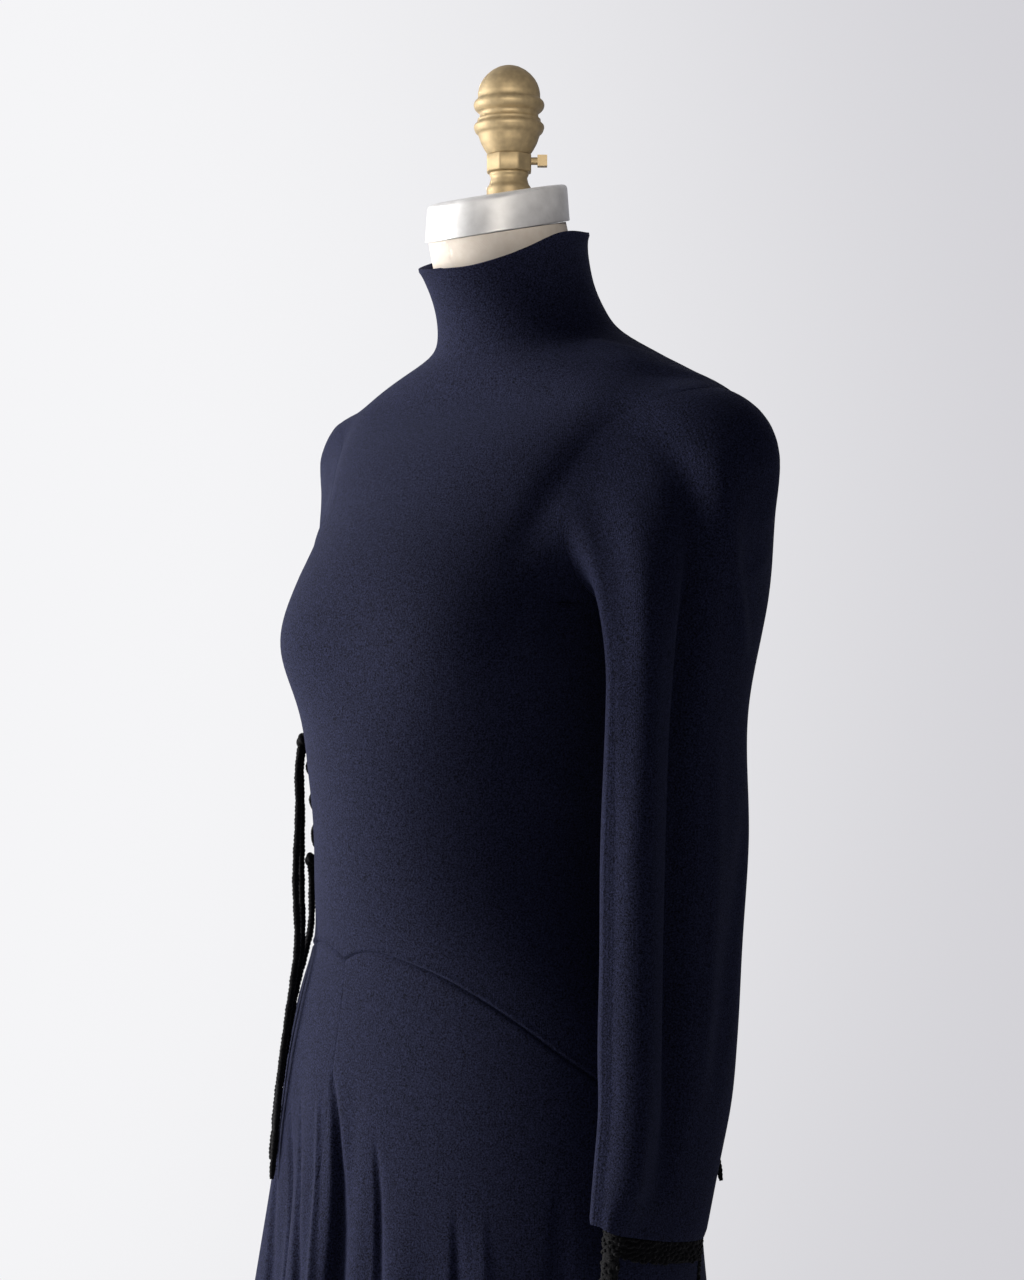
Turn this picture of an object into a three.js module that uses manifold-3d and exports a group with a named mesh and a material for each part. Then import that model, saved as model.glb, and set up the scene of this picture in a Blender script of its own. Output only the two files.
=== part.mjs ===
// A fine-knit sweater dress on a limbless dress form, each cut piece a closed wall of cloth.
// Millimetres. +Z is up from the floor, the dress faces -Y, and +X is the wearer's left.
// The origin is the centre of the stand's underside, on the axis of the pole.
import * as THREE from "three";
import { mergeVertices } from "three/addons/utils/BufferGeometryUtils.js";
import Module from "manifold-3d";

const wasm = await Module();
wasm.setup();

const { degToRad, lerp, clamp } = THREE.MathUtils;

// Driving dimensions
const KNIT = 1.6; // thickness of the fine knit
const EASE = 0.6; // air between the shoulders of the form and the knit
const SEAM = 0.3; // gap left at each seam
const HEM = 350; // height of the skirt's hem
const HIP_LINE = 1008; // the bodice's rows are level above this height
const ARM_LOW = 1232; // underarm
const ARM_HIGH = 1360; // shoulder point
const NECK_BASE = 1404; // where the funnel collar begins
const COLLAR_TOP = 1475; // its top edge, at the side
const NOTCH = -18; // the hip seam's point, degrees from the form's centre front
const FORM_FOOT = 768; // underside of the form
const FORM_NECK = 1486; // top of the canvas neck

// Sections of the figure and the dress, each a level ring tipped by its lean.
// half is the half width, side the Y of the widest line, front and back the reach each way from it.
const TORSO = [
  { height: 862, half: 172, side: -26, front: 118, back: 116, lean: 0 },
  { height: 900, half: 166, side: -25, front: 112, back: 112, lean: 0 },
  { height: 935, half: 156, side: -25, front: 107, back: 107, lean: 0 },
  { height: 975, half: 136, side: -26, front: 104, back: 99, lean: 0 },
  { height: 1015, half: 125, side: -28, front: 111, back: 96, lean: 0 },
  { height: 1060, half: 122, side: -28, front: 115, back: 98, lean: 0 },
  { height: 1105, half: 127, side: -26, front: 121, back: 106, lean: 0 },
  { height: 1150, half: 132, side: -22, front: 125, back: 116, lean: 0 },
  { height: 1195, half: 138, side: -16, front: 132, back: 122, lean: 0 },
  { height: 1240, half: 147, side: -6, front: 133, back: 122, lean: 0 },
  { height: 1285, half: 159, side: 4, front: 117, back: 114, lean: 0 },
  { height: 1325, half: 178, side: 12, front: 96, back: 96, lean: 0 },
  { height: 1360, half: 185, side: 16, front: 64, back: 74, lean: 0.02 },
  { height: 1380, half: 130, side: 15, front: 58, back: 72, lean: 0.1 },
  { height: 1394, half: 98, side: 14, front: 56, back: 66, lean: 0.17 },
  { height: 1404, half: 77, side: 14, front: 52, back: 60, lean: 0.22 },
];

// The dress alone, below the hips and up the funnel collar
const SKIRT = [
  { height: 350, half: 226, side: -30, front: 186, back: 178, lean: 0 },
  { height: 500, half: 211, side: -30, front: 164, back: 154, lean: 0 },
  { height: 640, half: 196, side: -30, front: 142, back: 130, lean: 0 },
  { height: 740, half: 184, side: -29, front: 128, back: 115, lean: 0 },
  { height: 820, half: 176, side: -27, front: 123, back: 117, lean: 0 },
];
const COLLAR = [
  { height: 1419, half: 66, side: 13, front: 52, back: 52, lean: 0.27 },
  { height: 1436, half: 60, side: 8, front: 52, back: 48, lean: 0.3 },
  { height: 1455, half: 58, side: 3, front: 56, back: 49, lean: 0.31 },
  { height: 1468, half: 59, side: -1, front: 60, back: 50, lean: 0.31 },
  { height: 1475, half: 61, side: -2, front: 63, back: 52, lean: 0.31 },
];

// The form alone, below the hips and up the neck
const THIGH = [
  { height: 768, half: 160, side: -26, front: 104, back: 102, lean: 0 },
  { height: 820, half: 168, side: -26, front: 113, back: 111, lean: 0 },
];
// How far the form lies under the dress's own sections
const FORM_INSET = [
  { height: 860, inset: 4 },
  { height: 970, inset: 4 },
  { height: 1010, inset: 2.4 },
  { height: 1340, inset: 3.2 },
  { height: 1360, inset: 6.5 },
  { height: 1374, inset: 0.1 },
  { height: 1390, inset: 0.1 },
  { height: 1404, inset: 1.5 },
];
const NECK = [
  { height: 1422, half: 60, side: 9, front: 47, back: 46, lean: 0.25 },
  { height: 1450, half: 53, side: -1, front: 49, back: 47, lean: 0.24 },
  { height: 1486, half: 50, side: -12, front: 49, back: 49, lean: 0.22 },
];
const DRESS_ROWS = [...SKIRT, ...TORSO, ...COLLAR];
const FORM_ROWS = [...THIGH, ...TORSO, ...NECK];
const SQUARE = 2; // how full a section is: 2 is an ellipse

// The bust: two soft mounds added to the sections
const BUST = { angle: 38, height: 1190, reach: 21, wide: 27, tall: 46 };

// Height of the hip seam, by degrees either way from its point
const HIP_SEAM = [
  { turn: 0, height: 969 },
  { turn: 9, height: 975 },
  { turn: 22, height: 977 },
  { turn: 36, height: 972 },
  { turn: 54, height: 960 },
  { turn: 72, height: 938 },
  { turn: 90, height: 903 },
  { turn: 104, height: 876 },
  { turn: 118, height: 900 },
  { turn: 136, height: 938 },
  { turn: 160, height: 958 },
  { turn: 180, height: 962 },
];

// Flutes of the skirt: at is degrees from centre front, deep is mm outwards at the hem, or inwards if negative.
const FLUTES = [
  { at: -86, from: 850, wide: 8, deep: 20 },
  { at: -70, from: 900, wide: 7, deep: -16 },
  { at: -53, from: 940, wide: 8, deep: 17 },
  { at: -40, from: 930, wide: 5, deep: -13 },
  { at: -28, from: 900, wide: 5, deep: 15 },
  { at: -4, from: 905, wide: 5, deep: -24 },
  { at: -14, from: 910, wide: 6, deep: 17 },
  { at: 10, from: 850, wide: 4.5, deep: -17 },
  { at: 20, from: 850, wide: 7, deep: 16 },
  { at: 30, from: 800, wide: 6, deep: -18 },
  { at: 46, from: 820, wide: 9, deep: 19 },
  { at: 61, from: 800, wide: 7, deep: -16 },
  { at: 78, from: 820, wide: 9, deep: 18 },
  { at: 96, from: 830, wide: 7, deep: -18 },
  { at: 112, from: 850, wide: 8, deep: 17 },
  { at: 129, from: 870, wide: 8, deep: -16 },
  { at: 147, from: 860, wide: 9, deep: 20 },
  { at: 165, from: 880, wide: 7, deep: -18 },
  { at: 183, from: 870, wide: 9, deep: 18 },
  { at: 201, from: 850, wide: 7, deep: -17 },
  { at: 217, from: 840, wide: 8, deep: 18 },
  { at: 235, from: 860, wide: 7, deep: -16 },
  { at: 252, from: 850, wide: 8, deep: 19 },
  { at: 264, from: 820, wide: 5, deep: -14 },
];

// Sections of the hanging sleeves, flat tubes: out and back place the middle, wide and thick are half sizes.
const SLEEVE_LEFT = [
  { height: 1205, out: 187, back: -22, wide: 78, thick: 26, lean: 0 },
  { height: 1150, out: 187, back: -30, wide: 70, thick: 24, lean: 0 },
  { height: 1052, out: 188, back: -31, wide: 70, thick: 23, lean: 0 },
  { height: 985, out: 190, back: -37, wide: 67, thick: 22, lean: 0 },
  { height: 925, out: 194, back: -45, wide: 65, thick: 22, lean: 0 },
  { height: 885, out: 196, back: -50, wide: 62, thick: 20, lean: -0.06 },
  { height: 852, out: 198, back: -60, wide: 58, thick: 19, lean: -0.15 },
  { height: 803, out: 200, back: -72, wide: 53, thick: 18, lean: -0.29 },
];
const SLEEVE_RIGHT = [
  { height: 1205, out: 176, back: 44, wide: 66, thick: 26, lean: 0 },
  { height: 1150, out: 170, back: 44, wide: 62, thick: 24, lean: 0 },
  { height: 1052, out: 166, back: 42, wide: 62, thick: 23, lean: 0 },
  { height: 985, out: 175, back: 40, wide: 61, thick: 22, lean: 0 },
  { height: 925, out: 187, back: 34, wide: 59, thick: 22, lean: 0 },
  { height: 885, out: 193, back: 30, wide: 57, thick: 20, lean: -0.03 },
  { height: 852, out: 197, back: 28, wide: 54, thick: 19, lean: -0.08 },
  { height: 803, out: 200, back: 24, wide: 51, thick: 18, lean: -0.15 },
];
const ARMHOLE = { front: 32, back: 28, steps: 9 }; // degrees taken out of each panel, and rows up one side
const CAP_ROWS = 6;
const TUBE_ROWS = 9;

// Cuff below each sleeve's hem: band and end are mm down from the hem, crochet is the trim's thickness.
const CUFF = { band: 14, end: 46, narrow: 4, crochet: 2.6 };

// Wool cords, hung on the dress: angle and height place each point, out is mm from the dress's own section.
const WOOL = 5; // thickness of a hanging cord
const LACE = 3.6; // thickness of the lacing
const CORD_A = [
  { angle: -53.6, height: 1115.7, out: 8 },
  { angle: -51.5, height: 1098, out: 11 },
  { angle: -50, height: 1070, out: 13 },
  { angle: -50, height: 1020, out: 14 },
  { angle: -50, height: 975, out: 11.5 },
  { angle: -50, height: 945, out: 8 },
  { angle: -50, height: 918, out: 6.2 },
  { angle: -50, height: 880, out: 5.6 },
  { angle: -50, height: 840, out: 5.6 },
  { angle: -49, height: 803, out: 5.6 },
];
const CORD_B = [
  { angle: -56.4, height: 1115.7, out: 8 },
  { angle: -57, height: 1098, out: 11.5 },
  { angle: -56, height: 1068, out: 13 },
  { angle: -55, height: 1020, out: 13 },
  { angle: -54.5, height: 975, out: 11 },
  { angle: -54, height: 945, out: 8 },
  { angle: -53.5, height: 918, out: 6.2 },
  { angle: -53.5, height: 880, out: 5.6 },
  { angle: -53, height: 845, out: 5.6 },
  { angle: -53, height: 815, out: 5.6 },
];
const CORD_C = [
  { angle: -55.3, height: 1029.4, out: 6.4 },
  { angle: -58.5, height: 1012, out: 6.6 },
  { angle: -60, height: 980, out: 6.2 },
  { angle: -59, height: 945, out: 5.8 },
  { angle: -58, height: 905, out: 5.6 },
  { angle: -57.5, height: 870, out: 5.6 },
  { angle: -57, height: 835, out: 5.6 },
];
const CORD_D = [
  { angle: 128.4, height: 1111.7, out: 7 },
  { angle: 127, height: 1085, out: 11 },
  { angle: 125, height: 1040, out: 13 },
  { angle: 122, height: 990, out: 11 },
  { angle: 118, height: 940, out: 7 },
  { angle: 115, height: 900, out: 6 },
  { angle: 113, height: 866, out: 9 },
  { angle: 111, height: 838, out: 15 },
  { angle: 110, height: 818, out: 18 },
];
const LACING = [
  { angle: -62, height: 1111, out: 4.8 },
  { angle: -53, height: 1100, out: 4.8 },
  { angle: -61, height: 1088, out: 5.1 },
  { angle: -53, height: 1076, out: 5.1 },
  { angle: -61, height: 1064, out: 5.1 },
  { angle: -53, height: 1053, out: 5.1 },
  { angle: -57, height: 1043, out: 5.1 },
];
const KNOTS = [
  { name: "lacing_knot_top", angle: -55, height: 1120.5, out: 6.9, size: 4.4 },
  { name: "lacing_knot_low", angle: -55, height: 1034, out: 6.8, size: 3.8 },
  { name: "back_knot", angle: 128.5, height: 1116.5, out: 6.9, size: 4.4 },
];

// Stand and neck fittings: outlines are radius and height, from the axis round to the axis
const POLE = 13;
const BASE = [
  [0, 0], [195, 0], [195, 7], [189, 12], [60, 17], [30, 22], [24, 30], [24, 66], [21, 70],
  [POLE + SEAM, 70], [POLE + SEAM, 20], [0, 20],
];
const FINIAL_HEAD = [
  [0, 1536], [16.3, 1543.4], [20.5, 1550], [22.4, 1557], [23.6, 1558.5], [25.7, 1561], [25.7, 1564.5],
  [23.4, 1567], [23.4, 1569], [21.4, 1571.5], [21.4, 1574], [23.6, 1576], [25.9, 1578.5], [25.7, 1581],
  [23.2, 1583.5], [22.6, 1588], [21.6, 1595], [18, 1601.5], [11.5, 1606.3], [5, 1608], [0, 1608.2],
];
const FINIAL_FOOT = [
  [0, 1512.3], [16.2, 1512.3], [16.2, 1519], [14.6, 1521.5], [13, 1527], [14.2, 1528.6], [14.2, 1530.4],
  [12, 1531.5], [0, 1531.5],
];
const SHANK = { across: 32, low: 1531, high: 1543 };
const SCREW = { height: 1539, shaft: 2.8, from: 8, neck: 20.6, tip: 27.6, head: 8 };
const NECK_CAP = [
  { height: 1486.4, grow: 2.4 },
  { height: 1490, grow: 2.4 },
  { height: 1507, grow: 1.2 },
  { height: 1512, grow: -0.8 },
  { height: 1514.4, grow: -4 },
];

// Smooth value of one column of a table at a height or a turn.
function column(table, key, by, at) {
  const last = table.length - 1;
  const rising = table[last][by] > table[0][by];
  const rows = rising ? table : [...table].reverse();
  let i = 0;
  while (i < last - 1 && rows[i + 1][by] < at) i += 1;
  const slope = (k) => {
    const a = rows[Math.max(k - 1, 0)];
    const b = rows[Math.min(k + 1, last)];
    return (b[key] - a[key]) / (b[by] - a[by]);
  };
  const run = rows[i + 1][by] - rows[i][by];
  const t = clamp((at - rows[i][by]) / run, 0, 1);
  const t2 = t * t;
  const t3 = t2 * t;
  return (
    rows[i][key] * (2 * t3 - 3 * t2 + 1) +
    slope(i) * run * (t3 - 2 * t2 + t) +
    rows[i + 1][key] * (3 * t2 - 2 * t3) +
    slope(i + 1) * run * (t3 - t2)
  );
}

const bell = (x) => Math.exp(-x * x);
const between = (a, b) => ((((a - b) % 360) + 540) % 360) - 180;

// Mm added outwards by the bust at a place on the figure.
function bustAt(angle, height) {
  const rise = bell((height - BUST.height) / BUST.tall);
  const left = bell(between(angle, BUST.angle) / BUST.wide);
  const right = bell(between(angle, -BUST.angle) / BUST.wide);
  return BUST.reach * rise * (left + right);
}

// Mm added outwards by the skirt's flutes.
function fluteAt(angle, height) {
  let sum = 0;
  for (const fold of FLUTES) {
    const grown = clamp((fold.from - height) / (fold.from - HEM), 0, 1) ** 1.25;
    sum += fold.deep * grown * bell(between(angle, fold.at) / fold.wide);
  }
  return sum;
}

// A point of the figure or the dress: angle is degrees from centre front towards the wearer's left.
function ringPoint(rows, angle, height) {
  const get = (key) => column(rows, key, "height", height);
  const sin = Math.sin(degToRad(angle));
  const cos = Math.cos(degToRad(angle));
  const across = Math.abs(sin) / get("half");
  const along = Math.abs(cos) / (cos > 0 ? get("front") : get("back"));
  let reach = (across ** SQUARE + along ** SQUARE) ** (-1 / SQUARE);
  reach += bustAt(angle, height);
  if (rows === DRESS_ROWS) reach += fluteAt(angle, height);
  const y = -reach * cos;
  return new THREE.Vector3(reach * sin, get("side") + y, height + get("lean") * y);
}

// The same point moved out along the surface's normal.
function ringPointOut(rows, angle, height, out) {
  const turn = 0.6;
  const rise = 1.5;
  const across = ringPoint(rows, angle + turn, height).sub(ringPoint(rows, angle - turn, height));
  const up = ringPoint(rows, angle, height + rise).sub(ringPoint(rows, angle, height - rise));
  const normal = across.cross(up).normalize();
  return ringPoint(rows, angle, height).addScaledVector(normal, out);
}

// A closed solid from grids of points. Each grid is a list of rows, and looped grids close round.
function solidFromGrids(outer, inner, looped) {
  const rows = outer.length;
  const across = outer[0].length;
  const points = [...outer.flat(), ...inner.flat()];
  const index = (side, i, j) => side * rows * across + i * across + (j % across);
  const faces = [];
  const quad = (a, b, c, d) => faces.push(a, b, c, a, c, d);
  const columns = looped ? across : across - 1;
  for (let j = 0; j < columns; j += 1) {
    for (let i = 0; i < rows - 1; i += 1) {
      quad(index(0, i, j), index(0, i, j + 1), index(0, i + 1, j + 1), index(0, i + 1, j));
      quad(index(1, i, j), index(1, i + 1, j), index(1, i + 1, j + 1), index(1, i, j + 1));
    }
    const top = rows - 1;
    quad(index(1, 0, j), index(1, 0, j + 1), index(0, 0, j + 1), index(0, 0, j));
    quad(index(0, top, j), index(0, top, j + 1), index(1, top, j + 1), index(1, top, j));
  }
  if (!looped) {
    for (let i = 0; i < rows - 1; i += 1) {
      const end = across - 1;
      quad(index(1, i, 0), index(0, i, 0), index(0, i + 1, 0), index(1, i + 1, 0));
      quad(index(0, i, end), index(1, i, end), index(1, i + 1, end), index(0, i + 1, end));
    }
  }
  return geometryFrom(points, faces);
}

// A closed solid skinned over rings, with a fan at each end.
function solidFromRings(rings) {
  const count = rings[0].length;
  const points = rings.flat();
  const faces = [];
  for (let i = 0; i < rings.length - 1; i += 1) {
    for (let j = 0; j < count; j += 1) {
      const a = i * count + j;
      const b = i * count + ((j + 1) % count);
      faces.push(a, b, b + count, a, b + count, a + count);
    }
  }
  for (const [ring, flip] of [[rings[0], true], [rings.at(-1), false]]) {
    const centre = ring.reduce((sum, p) => sum.add(p), new THREE.Vector3()).divideScalar(count);
    const start = flip ? 0 : points.length - (points.length % count) - count;
    points.push(centre);
    const hub = points.length - 1;
    for (let j = 0; j < count; j += 1) {
      const a = start + j;
      const b = start + ((j + 1) % count);
      faces.push(...(flip ? [hub, b, a] : [hub, a, b]));
    }
  }
  return geometryFrom(points, faces);
}

// Builds the geometry, with its faces turned to point outwards.
function geometryFrom(points, faces) {
  let volume = 0;
  for (let i = 0; i < faces.length; i += 3) {
    const [a, b, c] = [points[faces[i]], points[faces[i + 1]], points[faces[i + 2]]];
    volume += a.dot(b.clone().cross(c));
  }
  const index = volume < 0 ? faces.slice().reverse() : faces;
  const geometry = new THREE.BufferGeometry().setFromPoints(points);
  geometry.setIndex(index);
  return geometry;
}

function bareCopy(geometry) {
  const bare = geometry.clone();
  bare.deleteAttribute("normal");
  bare.deleteAttribute("uv");
  return bare;
}

// Joins and cuts of closed geometries
function toSolid(geometry) {
  const merged = mergeVertices(bareCopy(geometry), 1e-4);
  return new wasm.Manifold(
    new wasm.Mesh({
      numProp: 3,
      vertProperties: new Float32Array(merged.attributes.position.array),
      triVerts: new Uint32Array(merged.index.array),
    }),
  );
}

function toGeometry(solid) {
  const mesh = solid.getMesh();
  const geometry = new THREE.BufferGeometry();
  geometry.setAttribute("position", new THREE.BufferAttribute(mesh.vertProperties, 3));
  geometry.setIndex(new THREE.BufferAttribute(mesh.triVerts, 1));
  return geometry;
}

const COLOURS = {
  knit: { color: 0x22253a, roughness: 0.95, metalness: 0 },
  yarn: { color: 0x141416, roughness: 1, metalness: 0 },
  canvas: { color: 0xd8ccbc, roughness: 0.9, metalness: 0 },
  aluminium: { color: 0xb9bcc0, roughness: 0.35, metalness: 1 },
  brass: { color: 0xb0935a, roughness: 0.42, metalness: 1 },
  iron: { color: 0x2c2c2e, roughness: 0.55, metalness: 0.6 },
};
const dress = new THREE.Group();

function add(name, geometry, finish) {
  const mesh = new THREE.Mesh(geometry, new THREE.MeshStandardMaterial(COLOURS[finish]));
  mesh.name = name;
  dress.add(mesh);
  return mesh;
}

// Panels of the body of the dress
const seamHeight = (angle) => column(HIP_SEAM, "height", "turn", Math.abs(between(angle, NOTCH)));
const HALF_SEAM = SEAM / 2;
const SEAM_TURN = 0.06; // degrees that make half a seam's gap at the side
const STATION = 9; // degrees between columns of the bodice

// Level rows of the bodice above the hip line: reach is degrees either side of its centre line.
function levelRows(cut) {
  const rows = [];
  for (let k = 0; k <= 4; k += 1) rows.push({ reach: 90, height: lerp(HIP_LINE, ARM_LOW, k / 4) });
  for (let k = 1; k < ARMHOLE.steps; k += 1) {
    const turn = (Math.PI * k) / ARMHOLE.steps;
    const height = (ARM_LOW + ARM_HIGH) / 2 - ((ARM_HIGH - ARM_LOW) / 2) * Math.cos(turn);
    rows.push({ reach: 90 - cut * Math.sin(turn), height });
  }
  const top = NECK_BASE - HALF_SEAM;
  for (let k = 0; k <= 3; k += 1) rows.push({ reach: 90, height: lerp(ARM_HIGH, top, k / 3) });
  return rows;
}

// A point beside the hip seam, on the straight edge between two stations of the bodice.
function seamPoint(angle, offset, out) {
  const station = Math.floor((angle + 90) / STATION + 1e-6) * STATION - 90;
  const at = (a) => ringPointOut(DRESS_ROWS, a, seamHeight(a) + offset, out);
  return at(station).lerp(at(station + STATION), (angle - station) / STATION);
}

// The points of a panel at one depth: middle is the angle of its centre line.
function panelGrid(rows, middle, columns, out) {
  return rows.map((row) => {
    const points = [];
    for (let j = 0; j <= columns; j += 1) {
      const reach = row.reach - SEAM_TURN;
      const angle = middle - reach + (2 * reach * j) / columns;
      points.push(row.point(angle, out));
    }
    return points;
  });
}

function bodicePanel(name, middle, cut) {
  const columns = 180 / STATION;
  const rows = [];
  for (let k = 0; k < 2; k += 1) {
    const height = (angle) => lerp(seamHeight(angle) + HALF_SEAM, HIP_LINE, k / 2);
    rows.push({ reach: 90, point: (angle, out) => ringPointOut(DRESS_ROWS, angle, height(angle), out) });
  }
  for (const { reach, height } of levelRows(cut)) {
    rows.push({ reach, point: (angle, out) => ringPointOut(DRESS_ROWS, angle, height, out) });
  }
  const outer = panelGrid(rows, middle, columns, EASE + KNIT);
  const inner = panelGrid(rows, middle, columns, EASE);
  add(name, solidFromGrids(outer, inner, false), "knit");
}

bodicePanel("bodice_front", 0, ARMHOLE.front);
bodicePanel("bodice_back", 180, ARMHOLE.back);

// The four gores of the skirt, from the hip seam down to the hem
function skirtGore(name, from, to) {
  const steps = 8;
  const columns = (2 * (to - from)) / STATION;
  const reach = (to - from) / 2;
  const rows = [];
  for (let k = 0; k < steps; k += 1) {
    const rise = 1 - (1 - k / steps) ** 1.35;
    const height = (angle) => lerp(HEM, seamHeight(angle) - HALF_SEAM, rise);
    rows.push({ reach, point: (angle, out) => ringPointOut(DRESS_ROWS, angle, height(angle), out) });
  }
  rows.push({ reach, point: (angle, out) => seamPoint(angle, -HALF_SEAM, out) });
  const middle = (from + to) / 2;
  const outer = panelGrid(rows, middle, columns, EASE + KNIT);
  const inner = panelGrid(rows, middle, columns, EASE);
  add(name, solidFromGrids(outer, inner, false), "knit");
}

skirtGore("skirt_front_left", NOTCH, 90);
skirtGore("skirt_front_right", -90, NOTCH);
skirtGore("skirt_back_left", 90, 180 + NOTCH);
skirtGore("skirt_back_right", 180 + NOTCH, 270);

// The funnel collar, one tube whose top edge rolls out
function collarPiece() {
  const steps = 5;
  const around = 24;
  const grid = (out) => {
    const rows = [];
    for (let k = 0; k <= steps; k += 1) {
      const height = lerp(NECK_BASE + HALF_SEAM, COLLAR_TOP, k / steps);
      const ring = [];
      for (let j = 0; j < around; j += 1) {
        ring.push(ringPointOut(DRESS_ROWS, (360 * j) / around, height, out));
      }
      rows.push(ring);
    }
    return rows;
  };
  add("collar", solidFromGrids(grid(EASE + KNIT), grid(EASE), true), "knit");
}
collarPiece();

// Sleeves: a cap that swings from the armhole down to the hanging tube
function armholePoint(step, sign) {
  const around = 2 * ARMHOLE.steps;
  const turn = (2 * Math.PI * step) / around;
  const height = (ARM_LOW + ARM_HIGH) / 2 - ((ARM_HIGH - ARM_LOW) / 2) * Math.cos(turn);
  const cut = step <= ARMHOLE.steps ? ARMHOLE.front : ARMHOLE.back;
  const angle = 90 - cut * Math.sin(turn);
  return ringPointOut(DRESS_ROWS, sign * angle, height, EASE + KNIT);
}

function tubePoint(table, step, sign, height, inwards) {
  const get = (key) => column(table, key, "height", height);
  const turn = (2 * Math.PI * step) / (2 * ARMHOLE.steps);
  const x = get("out") - (get("thick") - inwards) * Math.cos(turn);
  const away = -(get("wide") - inwards) * Math.sin(turn);
  return new THREE.Vector3(sign * x, get("back") + away, height + get("lean") * away);
}

// puff is how far the cap swings out before it falls
function sleeveGrid(table, sign, puff) {
  const around = 2 * ARMHOLE.steps;
  const top = table[0].height;
  const hem = table.at(-1).height;
  const rows = [];
  for (let i = 0; i < CAP_ROWS + TUBE_ROWS + 1; i += 1) {
    const ring = [];
    for (let j = 0; j < around; j += 1) {
      if (i < CAP_ROWS) {
        const start = armholePoint(j, sign);
        const end = tubePoint(table, j, sign, top, 0);
        const fall = end.clone().sub(start);
        const capness = (1 - Math.cos((2 * Math.PI * j) / around)) / 2;
        const leave = fall.clone().normalize().multiplyScalar(0.6 - 0.6 * capness);
        leave.add(new THREE.Vector3(sign, 0, -0.25).multiplyScalar(0.4 + 0.6 * capness)).normalize();
        start.addScaledVector(leave, 2 * SEAM);
        const pull = fall.length() * 0.42;
        const curve = new THREE.CubicBezierCurve3(
          start,
          start.clone().addScaledVector(leave, puff * pull * (0.4 + 0.6 * capness)),
          end.clone().add(new THREE.Vector3(0, 0, pull)),
          end,
        );
        ring.push(curve.getPoint(i / CAP_ROWS));
      } else {
        const height = lerp(top, hem, (i - CAP_ROWS) / TUBE_ROWS);
        ring.push(tubePoint(table, j, sign, height, 0));
      }
    }
    rows.push(ring);
  }
  return rows;
}

// Moves a looped grid inwards by the cloth's thickness, along its own normals.
function inwards(grid, depth) {
  const across = grid[0].length;
  const centre = (ring) => ring.reduce((s, p) => s.add(p), new THREE.Vector3()).divideScalar(across);
  return grid.map((ring, i) =>
    ring.map((point, j) => {
      const around = ring[(j + 1) % across].clone().sub(ring[(j + across - 1) % across]);
      const below = grid[Math.min(i + 1, grid.length - 1)][j];
      const along = below.clone().sub(grid[Math.max(i - 1, 0)][j]);
      const normal = around.cross(along).normalize();
      const outward = point.clone().sub(centre(ring)).dot(normal) > 0 ? 1 : -1;
      return point.clone().addScaledVector(normal, -outward * depth);
    }),
  );
}

function sleevePiece(name, table, sign, puff) {
  const outer = sleeveGrid(table, sign, puff);
  add(name, solidFromGrids(outer, inwards(outer, KNIT), true), "knit");
}

sleevePiece("sleeve_left", SLEEVE_LEFT, 1, 1.3);
sleevePiece("sleeve_right", SLEEVE_RIGHT, -1, 0.5);

// A short wall that carries on below a sleeve: from and to are mm down from its hem, out is added all round.
function cuffGrid(table, sign, from, to, out, steps, narrow) {
  const hem = table.at(-1);
  const rows = [];
  for (let i = 0; i <= 1; i += 1) {
    const drop = lerp(from, to, i);
    const ring = [];
    for (const step of steps) {
      const turn = (Math.PI * step) / ARMHOLE.steps;
      const x = hem.out - (hem.thick - narrow + out) * Math.cos(turn);
      const away = -(hem.wide - narrow + out) * Math.sin(turn);
      const z = hem.height - drop + hem.lean * away;
      ring.push(new THREE.Vector3(sign * x, hem.back - drop * 0.12 + away, z));
    }
    rows.push(ring);
  }
  return rows;
}

// The crochet band under the sleeve's hem, its two strips down the edges, and the narrow end of the cuff
function cuffPieces(side, table, sign) {
  const all = Array.from({ length: 2 * ARMHOLE.steps }, (_, k) => k);
  const wall = (from, to, out, thick, steps, looped) => {
    const outer = cuffGrid(table, sign, from, to, out, steps, CUFF.narrow);
    const inner = cuffGrid(table, sign, from, to, out - thick, steps, CUFF.narrow);
    return solidFromGrids(outer, inner, looped);
  };
  const band = toSolid(wall(SEAM, CUFF.band, CUFF.crochet, CUFF.crochet + KNIT, all, true));
  const strip = (middle) => {
    const steps = [middle - 1.5, middle - 0.5, middle + 0.5, middle + 1.5];
    return toSolid(wall(CUFF.band - 2, CUFF.end - 1, CUFF.crochet, CUFF.crochet - SEAM, steps, false));
  };
  const trim = band.add(strip(ARMHOLE.steps / 2)).add(strip(ARMHOLE.steps * 1.5));
  add(`cuff_trim_${side}`, toGeometry(trim), "yarn");
  add(`cuff_end_${side}`, wall(CUFF.band + SEAM, CUFF.end, 0, KNIT, all, true), "knit");
}

cuffPieces("left", SLEEVE_LEFT, 1);
cuffPieces("right", SLEEVE_RIGHT, -1);

// The canvas body of the form, closed at the foot and at the top of the neck
function formBody() {
  const around = 360 / STATION;
  const heights = [FORM_FOOT, 800, 840, 880, 920, 965];
  for (const row of levelRows(0)) heights.push(row.height);
  heights.push(1418, 1435, 1452, 1469, FORM_NECK);
  const rings = heights.map((height) => {
    const inset = column(FORM_INSET, "inset", "height", height);
    const ring = [];
    for (let j = 0; j < around; j += 1) {
      const angle = -90 + j * STATION;
      ring.push(ringPointOut(FORM_ROWS, angle, height, -inset));
    }
    return ring;
  });
  add("form_body", solidFromRings(rings), "canvas");
}
formBody();

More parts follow.
